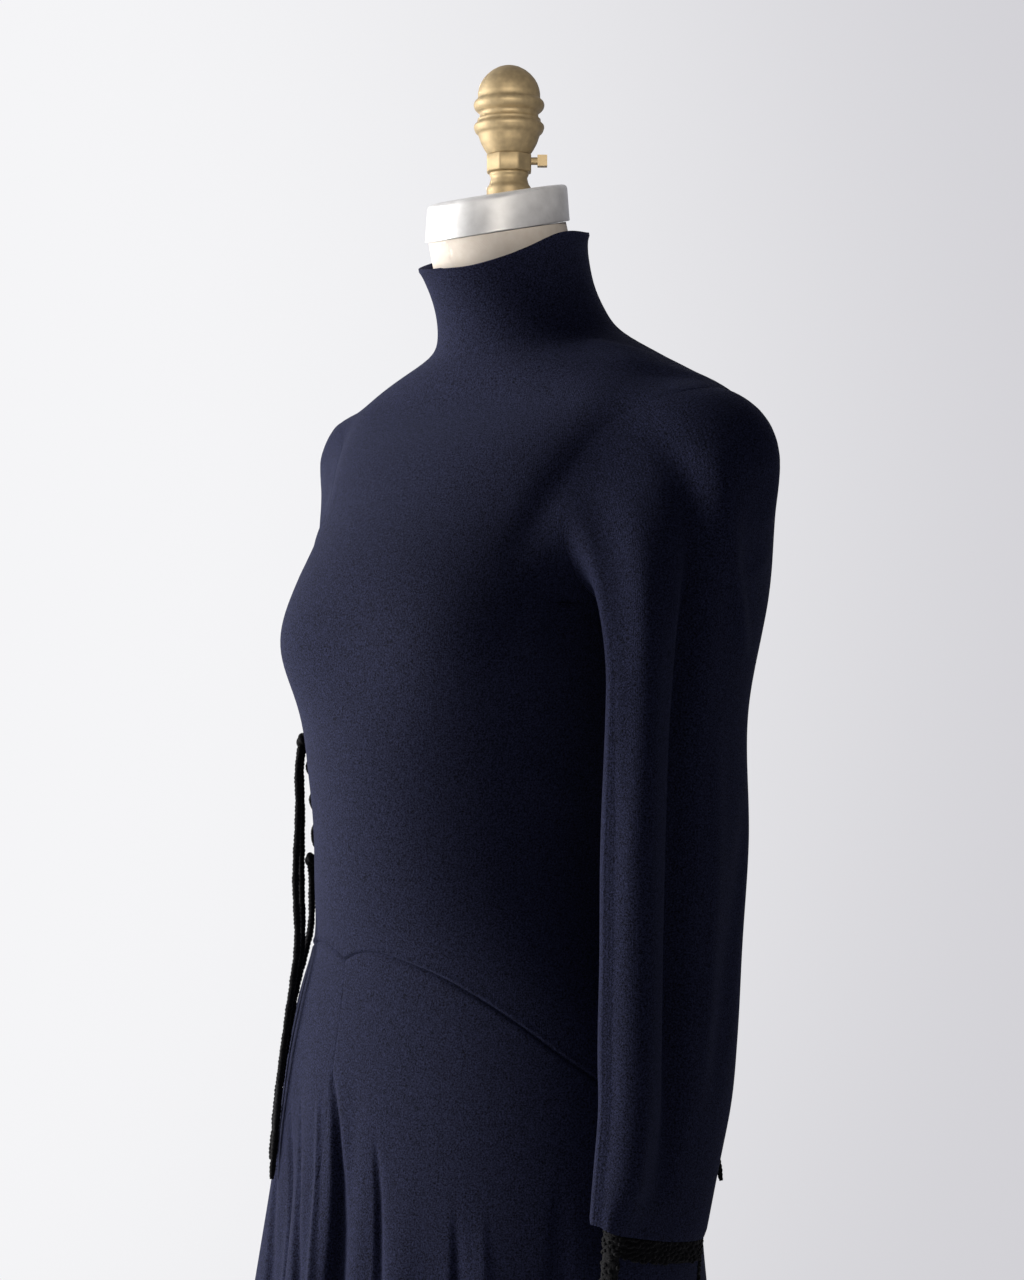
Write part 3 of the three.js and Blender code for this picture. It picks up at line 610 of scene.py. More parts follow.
def body_panel(name, node, middle, cut):
    """A panel of the bodice, 90 degrees to either side of its middle, less the armholes."""
    armhole = ARM_MIDDLE - ARM_HALF * np.cos(np.linspace(0, np.pi, 48))
    below = np.linspace(YOKE_TOP + 2, ARM_LOW, 44)[:-1]
    above = np.linspace(ARM_HIGH, NECK_BASE - GAP, 14)[1:]
    # a level up to 1 is a share of the way from the hip seam to the yoke's top
    levels = np.concatenate([np.linspace(0, 1, SEAM_ROWS) ** 1.8, below, armhole, above])
    rows = []
    share = np.linspace(-1, 1, PANEL_COLUMNS)
    for level in levels:
        if level <= 1:
            angle = middle + share * 90
            low = seam_height(angle) + GAP
            height = low + (YOKE_TOP - low) * level
        else:
            height = np.full(PANEL_COLUMNS, level)
            reach = 90 - armhole_cut(height[0], cut)
            angle = middle + share * (reach - GAP)
        rows.append((angle, height))
    angle = np.array([r[0] for r in rows])
    height = np.array([r[1] for r in rows])
    out = EASE + KNIT + body_creases(turned_from(angle, 0), height)
    to_side = 90 - np.abs(turned_from(angle, middle))
    power = squareness(height, cut == ARM_FRONT)
    beyond = (to_side.clip(0) / cut) ** power + ((height - ARM_MIDDLE) / ARM_HALF) ** 2
    beyond = (np.sqrt(beyond) - 1) * MM_A_SIZE
    out = out + armhole_lift(beyond, height, turned_from(angle, 0) > 0)
    # the hip seam is a groove, with its stitched turning raised a little above it
    from_seam = height - seam_height(angle)
    stitched = 0.6 + 0.4 * np.sin(angle * 2.3 + 2 * np.sin(angle * 0.37))
    out = out - 1.5 * bell(from_seam / 1.1) + 0.7 * stitched * bell((from_seam - 2.8) / 1.5)
    outer = surface(angle, height, out)
    inner = surface(angle, height, out - KNIT)
    uv = np.stack([angle * MM_A_DEGREE, height], -1)
    piece = cloth_wall(name, outer, inner, JERSEY, False, uv)
    finish_sheet(piece, node)


body_panel("knit_bodice_front", "bodice_front", 0, ARM_FRONT)
body_panel("knit_bodice_back", "bodice_back", 180, ARM_BACK)

# Skirt
# Four gores from the hip seam to the hem, flaring from the hips into soft uneven flutes. Below
# the yoke's point, folds open out of the cloth and run down to the hem.

# (degrees, height) from the point where a fold begins to the hem, width and depth in mm
SKIRT_FOLDS = [
    ([(-19, 893), (-13.5, 859), (-9.5, 820), (-8, 787), (-7.5, 754), (-4, 350)], 6.5, -9),
    ([(-25, 876), (-18.5, 817), (-14.5, 751), (-14, 350)], 5, 3.5),
    ([(7.5, 853), (10.5, 813), (12.5, 761), (10, 350)], 5.5, -5),
    ([(38, 812), (39, 770), (32, 350)], 6, -4.5),
    ([(46, 815), (47, 770), (46, 350)], 7, 2.5),
    ([(-39, 870), (-30, 800), (-24.5, 746), (-29, 350)], 4.5, -3.5),
    ([(-47, 866), (-39, 800), (-34, 741), (-41, 350)], 4.5, -3.5),
    ([(-53, 840), (-45, 740), (-52, 350)], 5, -3),
    ([(-74, 835), (-70, 740), (-70, 350)], 7, -5),
    ([(64, 830), (62, 740), (61, 350)], 7, -5),
    ([(97, 850), (96, 740), (96, 350)], 7, -5.5),
    ([(131, 880), (129, 740), (129, 350)], 6.5, -6),
    ([(162, 870), (166, 740), (165, 350)], 7, -5),
    ([(203, 845), (200, 740), (201, 350)], 6.5, -5.5),
    ([(238, 880), (235, 740), (235, 350)], 7, -6),
]


def skirt_fold(angle, height, path, wide, deep):
    """A fold that starts at a point, opens and then runs down to the hem."""
    place = [q[::-1] for q in path[::-1]]
    middle = np.interp(height, [q[0] for q in place], [q[1] for q in place])
    below = np.clip(path[0][1] - height, 0, None)
    width = wide * (0.45 + 0.55 * (1 - np.exp(-below / 90)))
    away = turned_from(angle, middle) * 3 * (1 if deep < 0 else -1)
    return deep * (1 - np.exp(-below / 45)) * bell(away / width / np.where(away < 0, 0.8, 1.8))


def skirt_gore(name, node, start, end):
    """A gore between two seams, given in degrees from centre front."""
    angle = np.linspace(start + GAP, end - GAP, int((end - start) * 2.3))
    rise = 1 - (1 - np.linspace(0, 1, 100)) ** 1.25
    angle, rise = np.meshgrid(angle, rise)
    top = seam_height(angle) - GAP
    height = HEM + (top - HEM) * rise
    out = np.full(angle.shape, EASE + KNIT)
    for path, wide, deep in SKIRT_FOLDS:
        out = out + skirt_fold(angle, height, path, wide, deep)
    # the hip seam's groove and turning, and a faint groove at the seams between gores
    below = top - height
    out = out - 1.5 * bell(below / 1.2) + 0.2 * bell((below - 3) / 2)
    for edge in (start, end):
        out = out - 0.25 * bell((angle - edge) * 2.6 / 1.2)
    outer = surface(angle, height, out)
    inner = surface(angle, height, out - KNIT)
    uv = np.stack([angle * 3.4, height], -1)
    piece = cloth_wall(name, outer, inner, JERSEY, False, uv)
    finish_sheet(piece, node)


skirt_gore("knit_skirt_front_left", "skirt_front_left", NOTCH, 90)
skirt_gore("knit_skirt_front_right", "skirt_front_right", -90, NOTCH)
skirt_gore("knit_skirt_back_left", "skirt_back_left", 90, 180 + NOTCH)
skirt_gore("knit_skirt_back_right", "skirt_back_right", 180 + NOTCH, 270)

# Collar
# A funnel of the same knit, cut as one tube. Its top edge is turned and rolls out a little. It
# stands 7 mm higher at the wearer's left, where the cloth is pulled up.
COLLAR_TOP = 1475
around, rise = np.meshgrid(np.linspace(0, 360, 144, endpoint=False), np.linspace(0, 1, 40))
edge = COLLAR_TOP + 7 * bell((around - 82) / 24) - 1.5 * bell((around - 20) / 20)
height = NECK_BASE + GAP + (edge - NECK_BASE - GAP) * rise
from_top = edge - height
out = EASE + KNIT + 0.9 * bell(from_top / 3.5) - 0.9 * bell(from_top / 0.9)
thick = KNIT + 2.0 * bell(from_top / 4) - 2.2 * bell(from_top / 0.8)
collar = cloth_wall(
    "knit_collar",
    surface(around, height, out),
    surface(around, height, out - thick),
    JERSEY,
    True,
    np.stack([around * 1.1, height], -1),
)
finish_sheet(collar, "collar")

# Sleeves
# Long set-in sleeves, each one tube with its cap, that hang empty and flat beside the body.
# Towards the wrist the left one turns forward. Both end in a slimmer cuff.

# height, out from the middle, Y, half width to front and back, half thickness, lean
SLEEVE_LEFT = [
    (810, 200, -72, 53, 18, -0.2),
    (852, 198, -60, 58, 19, -0.12),
    (885, 196, -50, 62, 20, -0.06),
    (925, 194, -45, 65, 22, 0),
    (985, 190, -37, 67, 22, 0),
    (1052, 188, -31, 70, 23, 0),
    (1150, 187, -27, 67, 24, 0),
    (1205, 187, -18, 74, 26, 0),
]
SLEEVE_RIGHT = [
    (803, 200, 24, 51, 18, -0.15),
    (852, 197, 28, 54, 19, -0.08),
    (885, 193, 30, 57, 20, -0.03),
    (925, 187, 34, 59, 22, 0),
    (985, 175, 40, 61, 22, 0),
    (1052, 166, 42, 62, 23, 0),
    (1150, 170, 44, 62, 24, 0),
    (1205, 176, 44, 66, 26, 0),
]


# the cap meets the tube this far lower in front, and its curves' handles are this share of them
CAP_DROP, HANDLE = 55, 0.42
# the hem's cloth leaves the straight tube over this height, and dips this far on its outer face
HEM_ZONE, HEM_SAG = 90, 6
# millimetres on the sleeve for a degree round it
SLEEVE_MM_A_DEGREE = 1.15


def armhole_point(turn, sign, grown=1.0):
    """A point on the armhole's edge: turn 0 is the underarm, 90 the front, 180 the shoulder."""
    sin, cos = np.sin(np.radians(turn)), np.cos(np.radians(turn))
    height = ARM_MIDDLE - ARM_HALF * grown * cos
    cut = np.where(sin > 0, ARM_FRONT, ARM_BACK) * grown
    reach = cut * np.abs(sin) ** (2 / squareness(height, sin > 0))
    angle = sign * (90 - reach * np.sign(sin))
    lift = armhole_lift((grown - 1) * MM_A_SIZE, height, sign > 0)
    return surface(angle, height, EASE + KNIT + lift + body_creases(angle, height))


def tube_point(table, turn, height, sign):
    """A point of the hanging tube. The left one's outer front quarter is pressed squarer."""
    place, back, wide, thick, lean = (column(table, k, height) for k in range(1, 6))
    sin, cos = np.sin(np.radians(turn)), np.cos(np.radians(turn))
    square = np.clip((1200 - height) / 130, 0, 1) * (sin > 0) * (cos < 0) * (sign > 0)
    corner = 0.12 * np.sin(np.radians(2 * turn)) ** 2 - 0.04 * sin
    x = place - thick * np.sign(cos) * np.abs(cos) ** (1 - 0.5 * square)
    away = -wide * (sin + square * corner)
    return np.stack([sign * x, back + away, height + lean * away], -1)


def hem_sag(turn):
    """How far the sleeve's hem dips on its outer face, which is from 92 to 250 degrees."""
    return HEM_SAG * np.sqrt(np.clip(np.sin(np.radians((turn - 92) * 180 / 158)), 0, 1))


def unit(vectors):
    """The same vectors at a length of one."""
    return vectors / np.linalg.norm(vectors, axis=-1, keepdims=True)


def sleeve_cap(table, turn, sign, puff, top):
    """Rows of the cap: curves that leave the armhole outwards and run into the hanging tube."""
    start = armhole_point(turn, sign)
    forward = np.clip(np.sin(np.radians(turn)), 0, 1)[:, None]
    sideways = np.sin(np.radians(turn))[:, None]
    capness = ((1 - np.cos(np.radians(turn))) / 2)[:, None]
    end = tube_point(table, turn, top, sign)
    reach = np.linalg.norm(end - start, axis=-1, keepdims=True)
    leave = (end - start) / reach * (0.6 - 0.6 * capness)
    leave = unit(leave + np.array([sign, 0, -0.25]) * (0.4 + 0.6 * capness))
    # the cap goes on from the bodice's own slope, most of all at the left front
    onward = unit(start - armhole_point(turn, sign, 1.03))
    smooth = np.where(sideways > 0, 1.75 + 0.85 * sign, 0.9) * np.abs(sideways)
    leave = unit(leave + onward * (smooth + 0.5 * capness**3))
    start = start + leave * 0.1
    fullness = puff * (1 - 0.6 * forward + 0.45 * np.clip(-sideways, 0, 1))
    one = start + leave * fullness * reach * HANDLE * (0.4 + 0.6 * capness)
    two = end + unit(end - tube_point(table, turn, top - 8, sign)) * reach * HANDLE
    return [
        (1 - t) ** 3 * start + 3 * t * (1 - t) ** 2 * one + 3 * t**2 * (1 - t) * two + t**3 * end
        for t in np.linspace(0, 1, 46)[:-1]
    ]


def sleeve_piece(name, node, table, sign, puff, folds):
    """A whole sleeve: sign is 1 for the wearer's left, and puff is the cap's fullness."""
    turn = np.linspace(0, 360, 132, endpoint=False)
    hem = table[0][0]
    top = table[-1][0] - CAP_DROP * np.clip(np.sin(np.radians(turn)), 0, 1) ** 2
    rows = sleeve_cap(table, turn, sign, puff, top)
    for down in np.linspace(0, 1, 92):
        rows.append(tube_point(table, turn, top + (hem - top) * down, sign))
    grid = np.array(rows)
    low = np.clip((hem + HEM_ZONE - grid[..., 2]) / HEM_ZONE, 0, 1)
    grid[..., 2] -= hem_sag(turn) * low**2
    across = np.roll(grid, -1, 1) - np.roll(grid, 1, 1)
    normal = np.cross(np.gradient(grid, axis=0), across) * sign
    normal /= np.linalg.norm(normal, axis=-1, keepdims=True) + 1e-9
    middle = grid.mean(1, keepdims=True)
    if np.einsum("ijk,ijk->", normal, grid - middle) < 0:
        normal = -normal
    # the folds are placed by turn and by height down the sleeve
    x = np.broadcast_to(turn, grid.shape[:2]) * SLEEVE_MM_A_DEGREE
    out = np.zeros(grid.shape[:2])
    for route, wide, deep in folds:
        path = [(at * SLEEVE_MM_A_DEGREE, level) for at, level in route]
        out += crease(x, grid[..., 2], path, wide, deep)
    down = np.linspace(0, 1, len(rows))[:, None]
    out = out * np.clip(down * 12, 0, 1)
    from_hem = grid[..., 2] - grid[-1:, :, 2]
    # the turned hem is pressed flat, and thinner at its very edge
    out = out * np.clip(from_hem / 30, 0, 1) - 0.8 * bell(from_hem / 1.2)
    outer = grid + normal * out[..., None]
    inner = outer - normal * (KNIT - 0.8 * bell(from_hem / 1.0))[..., None]
    uv = np.stack([np.broadcast_to(turn, grid.shape[:2]) * 0.9, grid[..., 2]], -1)
    piece = cloth_wall(name, outer, inner, JERSEY, True, uv)
    finish_sheet(piece, node)


# (turn, height) down each fold, its width, and how far it stands out or sinks
LEFT_FOLDS = [
    ([(148, 1334), (152, 1290), (156, 1255), (161, 1215), (163, 1150), (164, 1000), (166, 830)], 9, -14),
    ([(124, 1300), (130, 1220), (135, 1100), (138, 980), (138, 870), (136, 730)], 17, 9.0),
    ([(164, 1322), (170, 1280), (182, 1240), (200, 1205), (214, 1180)], 7, 3.5),
    ([(180, 1308), (192, 1268), (206, 1240)], 15, -3.0),
    ([(190, 1150), (192, 1000), (190, 880)], 10, 2.0),
    ([(230, 1090), (214, 980), (200, 880)], 14, -2.2),
]
RIGHT_FOLDS = [
    ([(160, 1310), (170, 1230), (174, 1050), (176, 860)], 10, -8),
    ([(140, 1290), (150, 1150), (154, 960)], 13, 3.0),
    ([(172, 1305), (190, 1245), (214, 1195), (230, 1160)], 8, 4.0),
    ([(150, 990), (140, 920), (130, 840)], 10, 3.5),
    ([(154, 1356), (140, 1312), (128, 1250)], 30, 5.0),
]
sleeve_piece("knit_sleeve_left", "sleeve_left", SLEEVE_LEFT, 1, 1.15, LEFT_FOLDS)
sleeve_piece("knit_sleeve_right", "sleeve_right", SLEEVE_RIGHT, -1, 0.75, RIGHT_FOLDS)

# Cuffs
# Under each sleeve's hem a band of black crochet carries a narrow knit end, with a crocheted
# strip down its front and back edges.

# how far down the band and the end reach, and the crochet's thickness
CUFF_BAND, CUFF_END, CROCHET = 14, 46, 2.6
# how much slimmer the cuff is than the sleeve all round and at its front, and its slant forward
CUFF_SLIM, CUFF_SLIM_FRONT, CUFF_SLANT = 4, 14, 0.12
# degrees from a strip's middle to its edge, and metres between and round its stitches
STRIP_HALF, STITCH_SPACING, STITCH_SIZE = 26, 0.003, 0.002


def cuff_grid(table, sign, drops, out, turn):
    """Rows of points round the cuff at drops below the sleeve's hem, out mm from its cloth."""
    height, place, back, wide, thick, lean = table[0]
    cos, sin = np.cos(np.radians(turn)), np.sin(np.radians(turn))
    rows = []
    for drop in drops:
        x = place - (thick - CUFF_SLIM + out) * cos
        away = -(wide - CUFF_SLIM - CUFF_SLIM_FRONT * np.clip(sin, 0, 1) + out) * sin
        z = height - drop + lean * away - hem_sag(turn)
        rows.append(np.stack([sign * x, back - drop * CUFF_SLANT + away, z], -1))
    return np.array(rows)


def crochet_stitches(piece, spacing, size, seed):
    """Covers a wool piece with short thick loops of yarn, as crochet has."""
    tree = bpy.data.node_groups.new("crochet stitches", "GeometryNodeTree")
    for label, kind, way in (
        ("Geometry", "NodeSocketGeometry", "INPUT"),
        ("Spacing", "NodeSocketFloat", "INPUT"),
        ("Stitch size", "NodeSocketFloat", "INPUT"),
        ("Seed", "NodeSocketInt", "INPUT"),
        ("Yarn", "NodeSocketMaterial", "INPUT"),
        ("Geometry", "NodeSocketGeometry", "OUTPUT"),
    ):
        tree.interface.new_socket(label, in_out=way, socket_type=kind)
    enter = tree.nodes.new("NodeGroupInput")
    leave = tree.nodes.new("NodeGroupOutput")
    scatter = put(
        tree,
        "GeometryNodeDistributePointsOnFaces",
        [
            (enter.outputs["Geometry"], "Mesh"),
            (enter.outputs["Spacing"], "Distance Min"),
            (enter.outputs["Seed"], "Seed"),
        ],
        distribute_method="POISSON",
        Density_Max=4e5,
    )
    # a unit ball, scaled unevenly to a short thick loop
    loop = put(tree, "GeometryNodeMeshIcoSphere", Radius=1.0, Subdivisions=2)
    random = put(
        tree,
        "FunctionNodeRandomValue",
        [(enter.outputs["Seed"], "Seed")],
        data_type="FLOAT_VECTOR",
    )
    random.inputs[0].default_value = (0.8, 0.5, 0.4)
    random.inputs[1].default_value = (1.5, 0.9, 0.8)
    sized = put(
        tree,
        "ShaderNodeVectorMath",
        [(random.outputs[0], 0), (enter.outputs["Stitch size"], 3)],
        operation="SCALE",
    )
    placed = put(
        tree,
        "GeometryNodeInstanceOnPoints",
        [
            (scatter.outputs["Points"], "Points"),
            (loop.outputs["Mesh"], "Instance"),
            (scatter.outputs["Rotation"], "Rotation"),
            (sized.outputs[0], "Scale"),
        ],
    )
    real = put(tree, "GeometryNodeRealizeInstances", [(placed.outputs["Instances"], "Geometry")])
    joined = put(tree, "GeometryNodeJoinGeometry", [(real.outputs["Geometry"], "Geometry")])
    tree.links.new(enter.outputs["Geometry"], joined.inputs["Geometry"])
    coloured = put(
        tree,
        "GeometryNodeSetMaterial",
        [(joined.outputs["Geometry"], "Geometry"), (enter.outputs["Yarn"], "Material")],
    )
    tree.links.new(coloured.outputs["Geometry"], leave.inputs["Geometry"])
    modifier = piece.modifiers.new("crochet", "NODES")
    modifier.node_group = tree
    wanted = {"Spacing": spacing, "Stitch size": size, "Seed": seed, "Yarn": WOOL}
    for item in tree.interface.items_tree:
        if item.in_out == "INPUT" and item.name in wanted:
            modifier[item.identifier] = wanted[item.name]
    depsgraph = bpy.context.evaluated_depsgraph_get()
    made = bpy.data.meshes.new_from_object(piece.evaluated_get(depsgraph))
    piece.modifiers.clear()
    piece.data = made
    piece.data.polygons.foreach_set("use_smooth", [True] * len(piece.data.polygons))


def cuff_pieces(side, table, sign, seed):
    """A cuff's knit end, and its crochet band and strips, as separate pieces."""
    turn = np.linspace(0, 360, 96, endpoint=False)
    drops = np.linspace(CUFF_BAND + GAP, CUFF_END, 26)
    uv = np.stack(np.meshgrid(turn * 0.9, -drops), -1)
    end = cloth_wall(
        f"knit_cuff_end_{side}",
        cuff_grid(table, sign, drops, 0, turn),
        cuff_grid(table, sign, drops, -KNIT, turn),
        JERSEY,
        True,
        uv,
    )
    finish_sheet(end, f"cuff_end_{side}")
    drops = np.linspace(0.3, CUFF_BAND, 10)
    uv = np.stack(np.meshgrid(turn, -drops), -1)
    band = cloth_wall(
        f"crochet_band_{side}",
        cuff_grid(table, sign, drops, CROCHET - 1, turn),
        cuff_grid(table, sign, drops, -KNIT, turn),
        WOOL,
        True,
        uv,
    )
    strips = []
    for middle in (90, 270):
        narrow = np.linspace(middle - STRIP_HALF, middle + STRIP_HALF, 14)
        drops = np.linspace(CUFF_BAND - 1, CUFF_END - 1, 18)
        uv = np.stack(np.meshgrid(narrow, -drops), -1)
        strips.append(
            cloth_wall(
                f"crochet_strip_{side}_{middle}",
                cuff_grid(table, sign, drops, CROCHET - 1, narrow),
                cuff_grid(table, sign, drops, 0.2, narrow),
                WOOL,
                False,
                uv,
            )
        )
    for n, piece in enumerate([band, *strips]):
        crochet_stitches(piece, STITCH_SPACING, STITCH_SIZE, seed + n)
        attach(piece, "root")
        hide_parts(f"cuff_trim_{side}")


cuff_pieces("left", SLEEVE_LEFT, 1, 3)
cuff_pieces("right", SLEEVE_RIGHT, -1, 17)

# Lacing and knots
# One wool lace is worked in a zigzag through the knit at the wearer's right front waist and
# knotted at both ends. A third knot holds the cord at the back.

# its thickness, and its route as degrees, height and mm out from the figure
LACE = 3.6
LACING = [
    (-62, 1111, 4.0),
    (-53, 1100, 3.9),
    (-61, 1088, 4.0),
    (-53, 1076, 4.0),
    (-61, 1064, 4.0),
    (-53, 1053, 4.0),
    (-57, 1043, 4.2),
]
line, _ = spline_points(LACING, 120)
lacing = twisted_tube("wool_lacing", line, LACE, twist=7)
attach(lacing, "root")
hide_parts("side_lacing")


def capped_rings(name, grid, material):
    """A closed skin over rows of looped points, with both ends filled."""
    rows, cols = grid.shape[:2]
    points = np.vstack([grid.reshape(-1, 3), grid[0].mean(0), grid[-1].mean(0)])
    faces = tube_faces(rows, cols)
    made = mesh_object(name, points, faces, material)
    # the neck is about 0.33 m round
    around = np.arange(cols) / cols * 0.33
    places = np.zeros((len(points), 2))
    places[: rows * cols, 0] = np.tile(around, rows)
    places[:, 1] = points[:, 2] / 1000
    lay_uv(made, "weave", places)
    return made


# name, degrees, height, out, radius
KNOTS = [
    ("lacing_knot_top", -55, 1120.5, 6.9, 4.4),
    ("lacing_knot_low", -55, 1034, 6.8, 3.8),
    ("back_knot", 128.5, 1116.5, 6.9, 4.4),
]
# round the knot, and from just off its foot to just off its top, in radians
turn, tip = np.meshgrid(np.linspace(0, 2 * np.pi, 40, endpoint=False), np.linspace(0.05, 3.09, 30))
for name, angle, height, out, radius in KNOTS:
    # the lace's turns stand out as three slanted wraps
    wraps = 0.86 + 0.2 * np.abs(np.cos(1.5 * (turn + 1.6 * tip)))
    ball = np.stack([np.sin(tip) * np.cos(turn), np.sin(tip) * np.sin(turn), -np.cos(tip)], -1)
    ball = ball * (radius * wraps)[..., None] * [1, 1, 1.4] - [0, 0, 1.6]
    knot = capped_rings(name + "_wool", surface(angle, height, out) + ball, WOOL)
    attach(knot, "root")
    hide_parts(name)

# Form: canvas body and neck
# The padded body is covered in plain sized canvas. Only its neck shows, above the collar.

# height, half, side, front, back, lean, as for the dress
FORM = [
    (768, 160, -26, 104, 102, 0),
    (820, 168, -26, 113, 111, 0),
    (862, 168, -26, 114, 112, 0),
    (935, 152, -25, 103, 103, 0),
    (1015, 121, -28, 107, 92, 0),
    (1105, 124, -26, 118, 103, 0),
    (1195, 134, -16, 128, 118, 0),
    (1285, 155, 4, 110, 110, 0),
    (1325, 173, 12, 92, 92, 0),
    (1360, 176, 16, 60, 70, 0.02),
    (1380, 128, 15, 56, 70, 0.1),
    (1404, 75, 14, 50, 58, 0.22),
    (1422, 60, 9, 47, 46, 0.25),
    (1450, 53, -1, 49, 47, 0.24),
    (1486, 50, -12, 49, 49, 0.22),
]


def canvas_material():
    """Sized linen canvas: a warm off-white of uneven tone, with a plain weave as a bump."""
    material, tree, shader = new_material("sized linen canvas")
    place = put(tree, "ShaderNodeTexCoord")
    weave = put(tree, "ShaderNodeTexChecker", [(place.outputs["UV"], "Vector")], Scale=900)
    grain = put(tree, "ShaderNodeTexNoise", [(place.outputs["Object"], "Vector")], Scale=160, Detail=4)
    tone = put(tree, "ShaderNodeMix", [(grain.outputs["Fac"], 0)], data_type="RGBA")
    tone.inputs[6].default_value = linear("#dccfbf")
    tone.inputs[7].default_value = linear("#f0e8dd")
    tree.links.new(tone.outputs[2], shader.inputs["Base Color"])
    bump = put(
        tree, "ShaderNodeBump", [(weave.outputs["Fac"], "Height")], Strength=0.3, Distance=0.0003
    )
    tree.links.new(bump.outputs["Normal"], shader.inputs["Normal"])
    shader.inputs["Roughness"].default_value = 0.85
    return material


levels = np.linspace(FORM[0][0], FORM[-1][0], 150)
turn, height = np.meshgrid(np.linspace(0, 360, 96, endpoint=False), levels)
form = capped_rings("canvas_form", ring_point(turn, height, FORM), canvas_material())
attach(form, "root")
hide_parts("form_body")

# Neck ring
# A spun aluminium cap over the neck, tipped forward with it. The finial's foot is let into its
# sloping top.


def metal_material(name, code, roughness, flake, metallic):
    """Metal or metal-look paint, worn a little: flake is the patches of wear a metre."""
    material, tree, shader = new_material(name)
    place = put(tree, "ShaderNodeTexCoord")
    wear = put(
        tree, "ShaderNodeTexNoise", [(place.outputs["Object"], "Vector")], Scale=flake, Detail=5
    )
    gloss = put(tree, "ShaderNodeMapRange", [(wear.outputs["Fac"], "Value")])
    gloss.inputs["To Min"].default_value = roughness - 0.08
    gloss.inputs["To Max"].default_value = roughness + 0.14
    tree.links.new(gloss.outputs["Result"], shader.inputs["Roughness"])
    bump = put(
        tree, "ShaderNodeBump", [(wear.outputs["Fac"], "Height")], Strength=0.12, Distance=0.0004
    )
    tree.links.new(bump.outputs["Normal"], shader.inputs["Normal"])
    stain = put(tree, "ShaderNodeMix", [(wear.outputs["Fac"], 0)], data_type="RGBA")
    stain.inputs[6].default_value = [c * 0.62 for c in linear(code)[:3]] + [1.0]
    stain.inputs[7].default_value = [min(c * 1.3, 1) for c in linear(code)[:3]] + [1.0]
    tree.links.new(stain.outputs[2], shader.inputs["Base Color"])
    shader.inputs["Metallic"].default_value = metallic
    return material


# height, and mm out from the neck
CAP = [
    (1486.4, 2.4),
    (1487, 2.7),
    (1488.2, 2.6),
    (1509.4, 1.0),
    (1510.6, 0.8),
    (1511.8, 0.2),
    (1512.7, -0.9),
    (1513.2, -2.2),
    (1513.6, -6),
]
_, half, side, front, _, lean = FORM[-1]
turn = np.radians(np.linspace(0, 360, 128, endpoint=False))
rings = []
for height, grow in CAP:
    y = -(front + grow) * np.cos(turn)
    rings.append(np.stack([(half + grow) * np.sin(turn), side + y, height + lean * y], -1))
SPUN_ALUMINIUM = metal_material("spun aluminium", "#e9e8e6", 0.4, 75, 0.35)
cap = capped_rings("aluminium_cap", np.array(rings), SPUN_ALUMINIUM)
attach(cap, "root")
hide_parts("neck_ring")

# Finial and set screw
# A turned acorn in brass-coloured paint, with beads round its waist, an eight-sided shank and
# a flared foot. A square-headed screw at the back of the shank holds it on the pole.
BRASS = metal_material("worn brass-coloured paint", "#a99673", 0.55, 240, 0.6)


def turned(name, outline, segments, material, sides=None):
    """A turned solid from (radius, height) points. Between two heights it can have eight sides."""
    turn = np.radians(np.linspace(0, 360, segments, endpoint=False))
    rings = []
    for radius, height in outline:
        reach = np.full(turn.shape, float(radius))
        if sides and sides[0] <= height <= sides[1]:
            local = (turn + math.pi / 8) % (math.pi / 4) - math.pi / 8
            reach = reach / np.cos(local)
        level = np.full(turn.shape, height)
        rings.append(np.stack([reach * np.cos(turn), reach * np.sin(turn), level], -1))
    return capped_rings(name, np.array(rings), material)


def rounded(outline, step=0.8):
    """An outline with more points and its corners eased."""
    points = np.array(outline, float)
    run = np.concatenate([[0], np.cumsum(np.linalg.norm(np.diff(points, axis=0), axis=1))])
    at = np.linspace(0, run[-1], int(run[-1] / step))
    fine = np.stack([np.interp(at, run, points[:, k]) for k in (0, 1)], -1)
    eased = fine.copy()
    eased[1:-1] = (fine[:-2] + 2 * fine[1:-1] + fine[2:]) / 4
    return eased


# (radius, height) outlines, from below
ACORN = [
    (0.2, 1543), (15, 1543), (15.6, 1544), (17.6, 1546.8), (20.4, 1552), (21.9, 1556.6), (22.4, 1558),
    (24.4, 1559.6), (25.6, 1563), (25.3, 1565), (23.4, 1566.6), (22.8, 1567.6), (23.2, 1569), (21.6, 1570),
    (21.1, 1572), (21.4, 1573.6), (23, 1574.6), (25, 1576.6), (25.8, 1579.4), (25, 1582), (22.9, 1583.6),
    (22.5, 1585.2), (22.6, 1587.7), (22, 1591), (20.9, 1594.4), (18.9, 1598), (16, 1601.4), (12.4, 1604.4),
    (8, 1606.8), (4, 1608), (0.2, 1608.2),
]
SHANK = [(0.2, 1530.6), (15.2, 1530.6), (16, 1531.4), (16, 1542.4), (15.6, 1543), (0.2, 1543)]
FOOT = [
    (0.2, 1512.4), (16.2, 1512.4), (16.3, 1518.6), (15.8, 1519.8), (14.4, 1521.6), (13.2, 1526),
    (13.4, 1527.6), (14.2, 1528.2), (14.3, 1530), (13.8, 1530.6), (0.2, 1530.6),
]
# a piece's name, its outline, and the heights between which it has eight sides
for name, outline, sides in (
    ("finial_acorn", rounded(ACORN), None),
    ("finial_shank", SHANK, (1530, 1544)),
    ("finial_foot", rounded(FOOT), None),
):
    piece = turned(name, outline, 96, BRASS, sides)
    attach(piece, "root")
    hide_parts("finial")

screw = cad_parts["set_screw"]
screw.data.materials.clear()
screw.data.materials.append(BRASS)
edge = screw.modifiers.new("eased edges", "BEVEL")
edge.width = 0.0005
edge.segments = 2

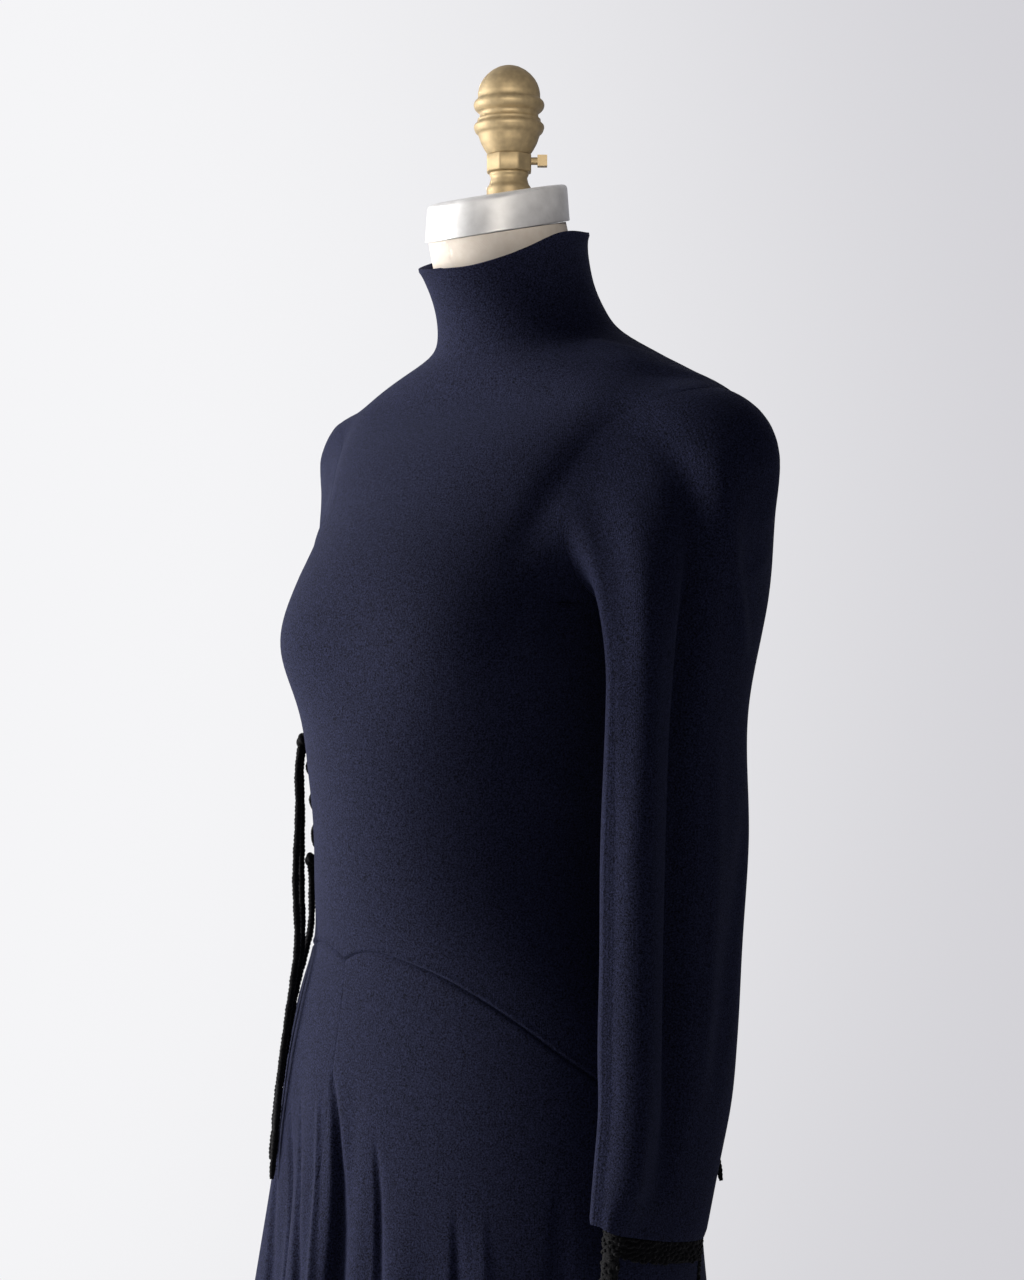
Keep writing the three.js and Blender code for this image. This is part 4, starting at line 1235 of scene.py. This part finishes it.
# Pole and base plate
# A black-painted steel pole, set in the hub of a round cast plate that stands free on the floor.
# It carries the form from below.
IRON = metal_material("satin black paint on iron", "#1c1c1f", 0.5, 90, 0.4)
# (radius, height) from the middle of the underside to the bottom of the pole's hole
PLATE = [
    (0.2, 0), (194, 0), (195, 1), (195, 6.4), (194, 8), (189, 12), (150, 13.6), (60, 17), (40, 19.4),
    (30, 22.6), (25, 28), (24, 34), (24, 66), (23.2, 69), (21, 70), (13.4, 70), (13.2, 20), (0.2, 20),
]
plate = turned("iron_base", PLATE, 128, IRON)
pole = turned("iron_pole", [(0.2, 20.3), (13, 20.3), (13, 767.6), (0.2, 767.6)], 64, IRON)
for piece, node in ((plate, "base"), (pole, "pole")):
    bpy.context.view_layer.objects.active = piece
    piece.select_set(True)
    bpy.ops.object.shade_smooth_by_angle(angle=math.radians(35))
    piece.select_set(False)
    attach(piece, "root")
    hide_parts(node)

# Floor and studio light
# A plain pale floor in a pale room that is brighter on one side, a wide soft key from the
# photograph's left, and a small narrow lamp on the neck ring and the finial.

# metres from the middle, at which the floor ends
FLOOR_RADIUS = 2.4
paper, tree, shader = new_material("pale paper floor")
shader.inputs["Base Color"].default_value = linear("#dcdcde")
shader.inputs["Roughness"].default_value = 0.9
round_floor = [
    (1000 * FLOOR_RADIUS * math.cos(a), 1000 * FLOOR_RADIUS * math.sin(a), -0.5)
    for a in np.linspace(0, 2 * math.pi, 64, endpoint=False)
]
floor = mesh_object("floor", round_floor, [tuple(range(64))], paper, smooth=False)


def softbox(name, place, aim, size, power, colour):
    """A rectangular lamp at a place, in metres, that faces its aim."""
    lamp = bpy.data.lights.new(name, "AREA")
    lamp.shape = "RECTANGLE"
    lamp.size, lamp.size_y = size
    lamp.energy = power
    lamp.color = linear(colour)[:3]
    lit = bpy.data.objects.new(name, lamp)
    lit.location = place
    way = np.array(aim) - np.array(place)
    flat = math.hypot(way[0], way[1])
    lit.rotation_euler = (math.atan2(flat, -way[2]), 0, math.atan2(way[1], way[0]) - math.pi / 2)
    scene.collection.objects.link(lit)


softbox("key", (-2.1, -1.5, 1.45), (0, 0, 1.15), (1.6, 2.2), 126, "#fffdfa")
softbox("head", (1.0, -1.0, 1.63), (0, 0, 1.57), (0.1, 0.1), 0.08, "#fff8ee")
bpy.data.lights["head"].spread = math.radians(11)
world = bpy.data.worlds.new("pale room")
scene.world = world
world.use_nodes = True
room = world.node_tree
place = put(room, "ShaderNodeTexCoord")
lean = put(room, "ShaderNodeVectorMath", [(place.outputs["Generated"], 0)], operation="DOT_PRODUCT")
lean.inputs[1].default_value = (-0.97, 0.24, 0.03)


def room_ramp(low, high, from_colour, to_colour):
    """A colour that goes from one to the other as a direction turns towards the bright side."""
    fade = put(room, "ShaderNodeMapRange", [(lean.outputs["Value"], "Value")])
    fade.interpolation_type = "SMOOTHSTEP"
    fade.inputs["From Min"].default_value = low
    fade.inputs["From Max"].default_value = high
    mixed = put(room, "ShaderNodeMix", [(fade.outputs["Result"], 0)], data_type="RGBA")
    for socket, colour in ((6, from_colour), (7, to_colour)):
        if isinstance(colour, str):
            mixed.inputs[socket].default_value = linear(colour)
        else:
            room.links.new(colour, mixed.inputs[socket])
    return mixed.outputs[2]


wall = room_ramp(0.7, 0.93, "#d2d1d6", "#f5f5f7")
back = room.nodes["Background"]
room.links.new(room_ramp(0.1, 0.72, "#626268", wall), back.inputs["Color"])
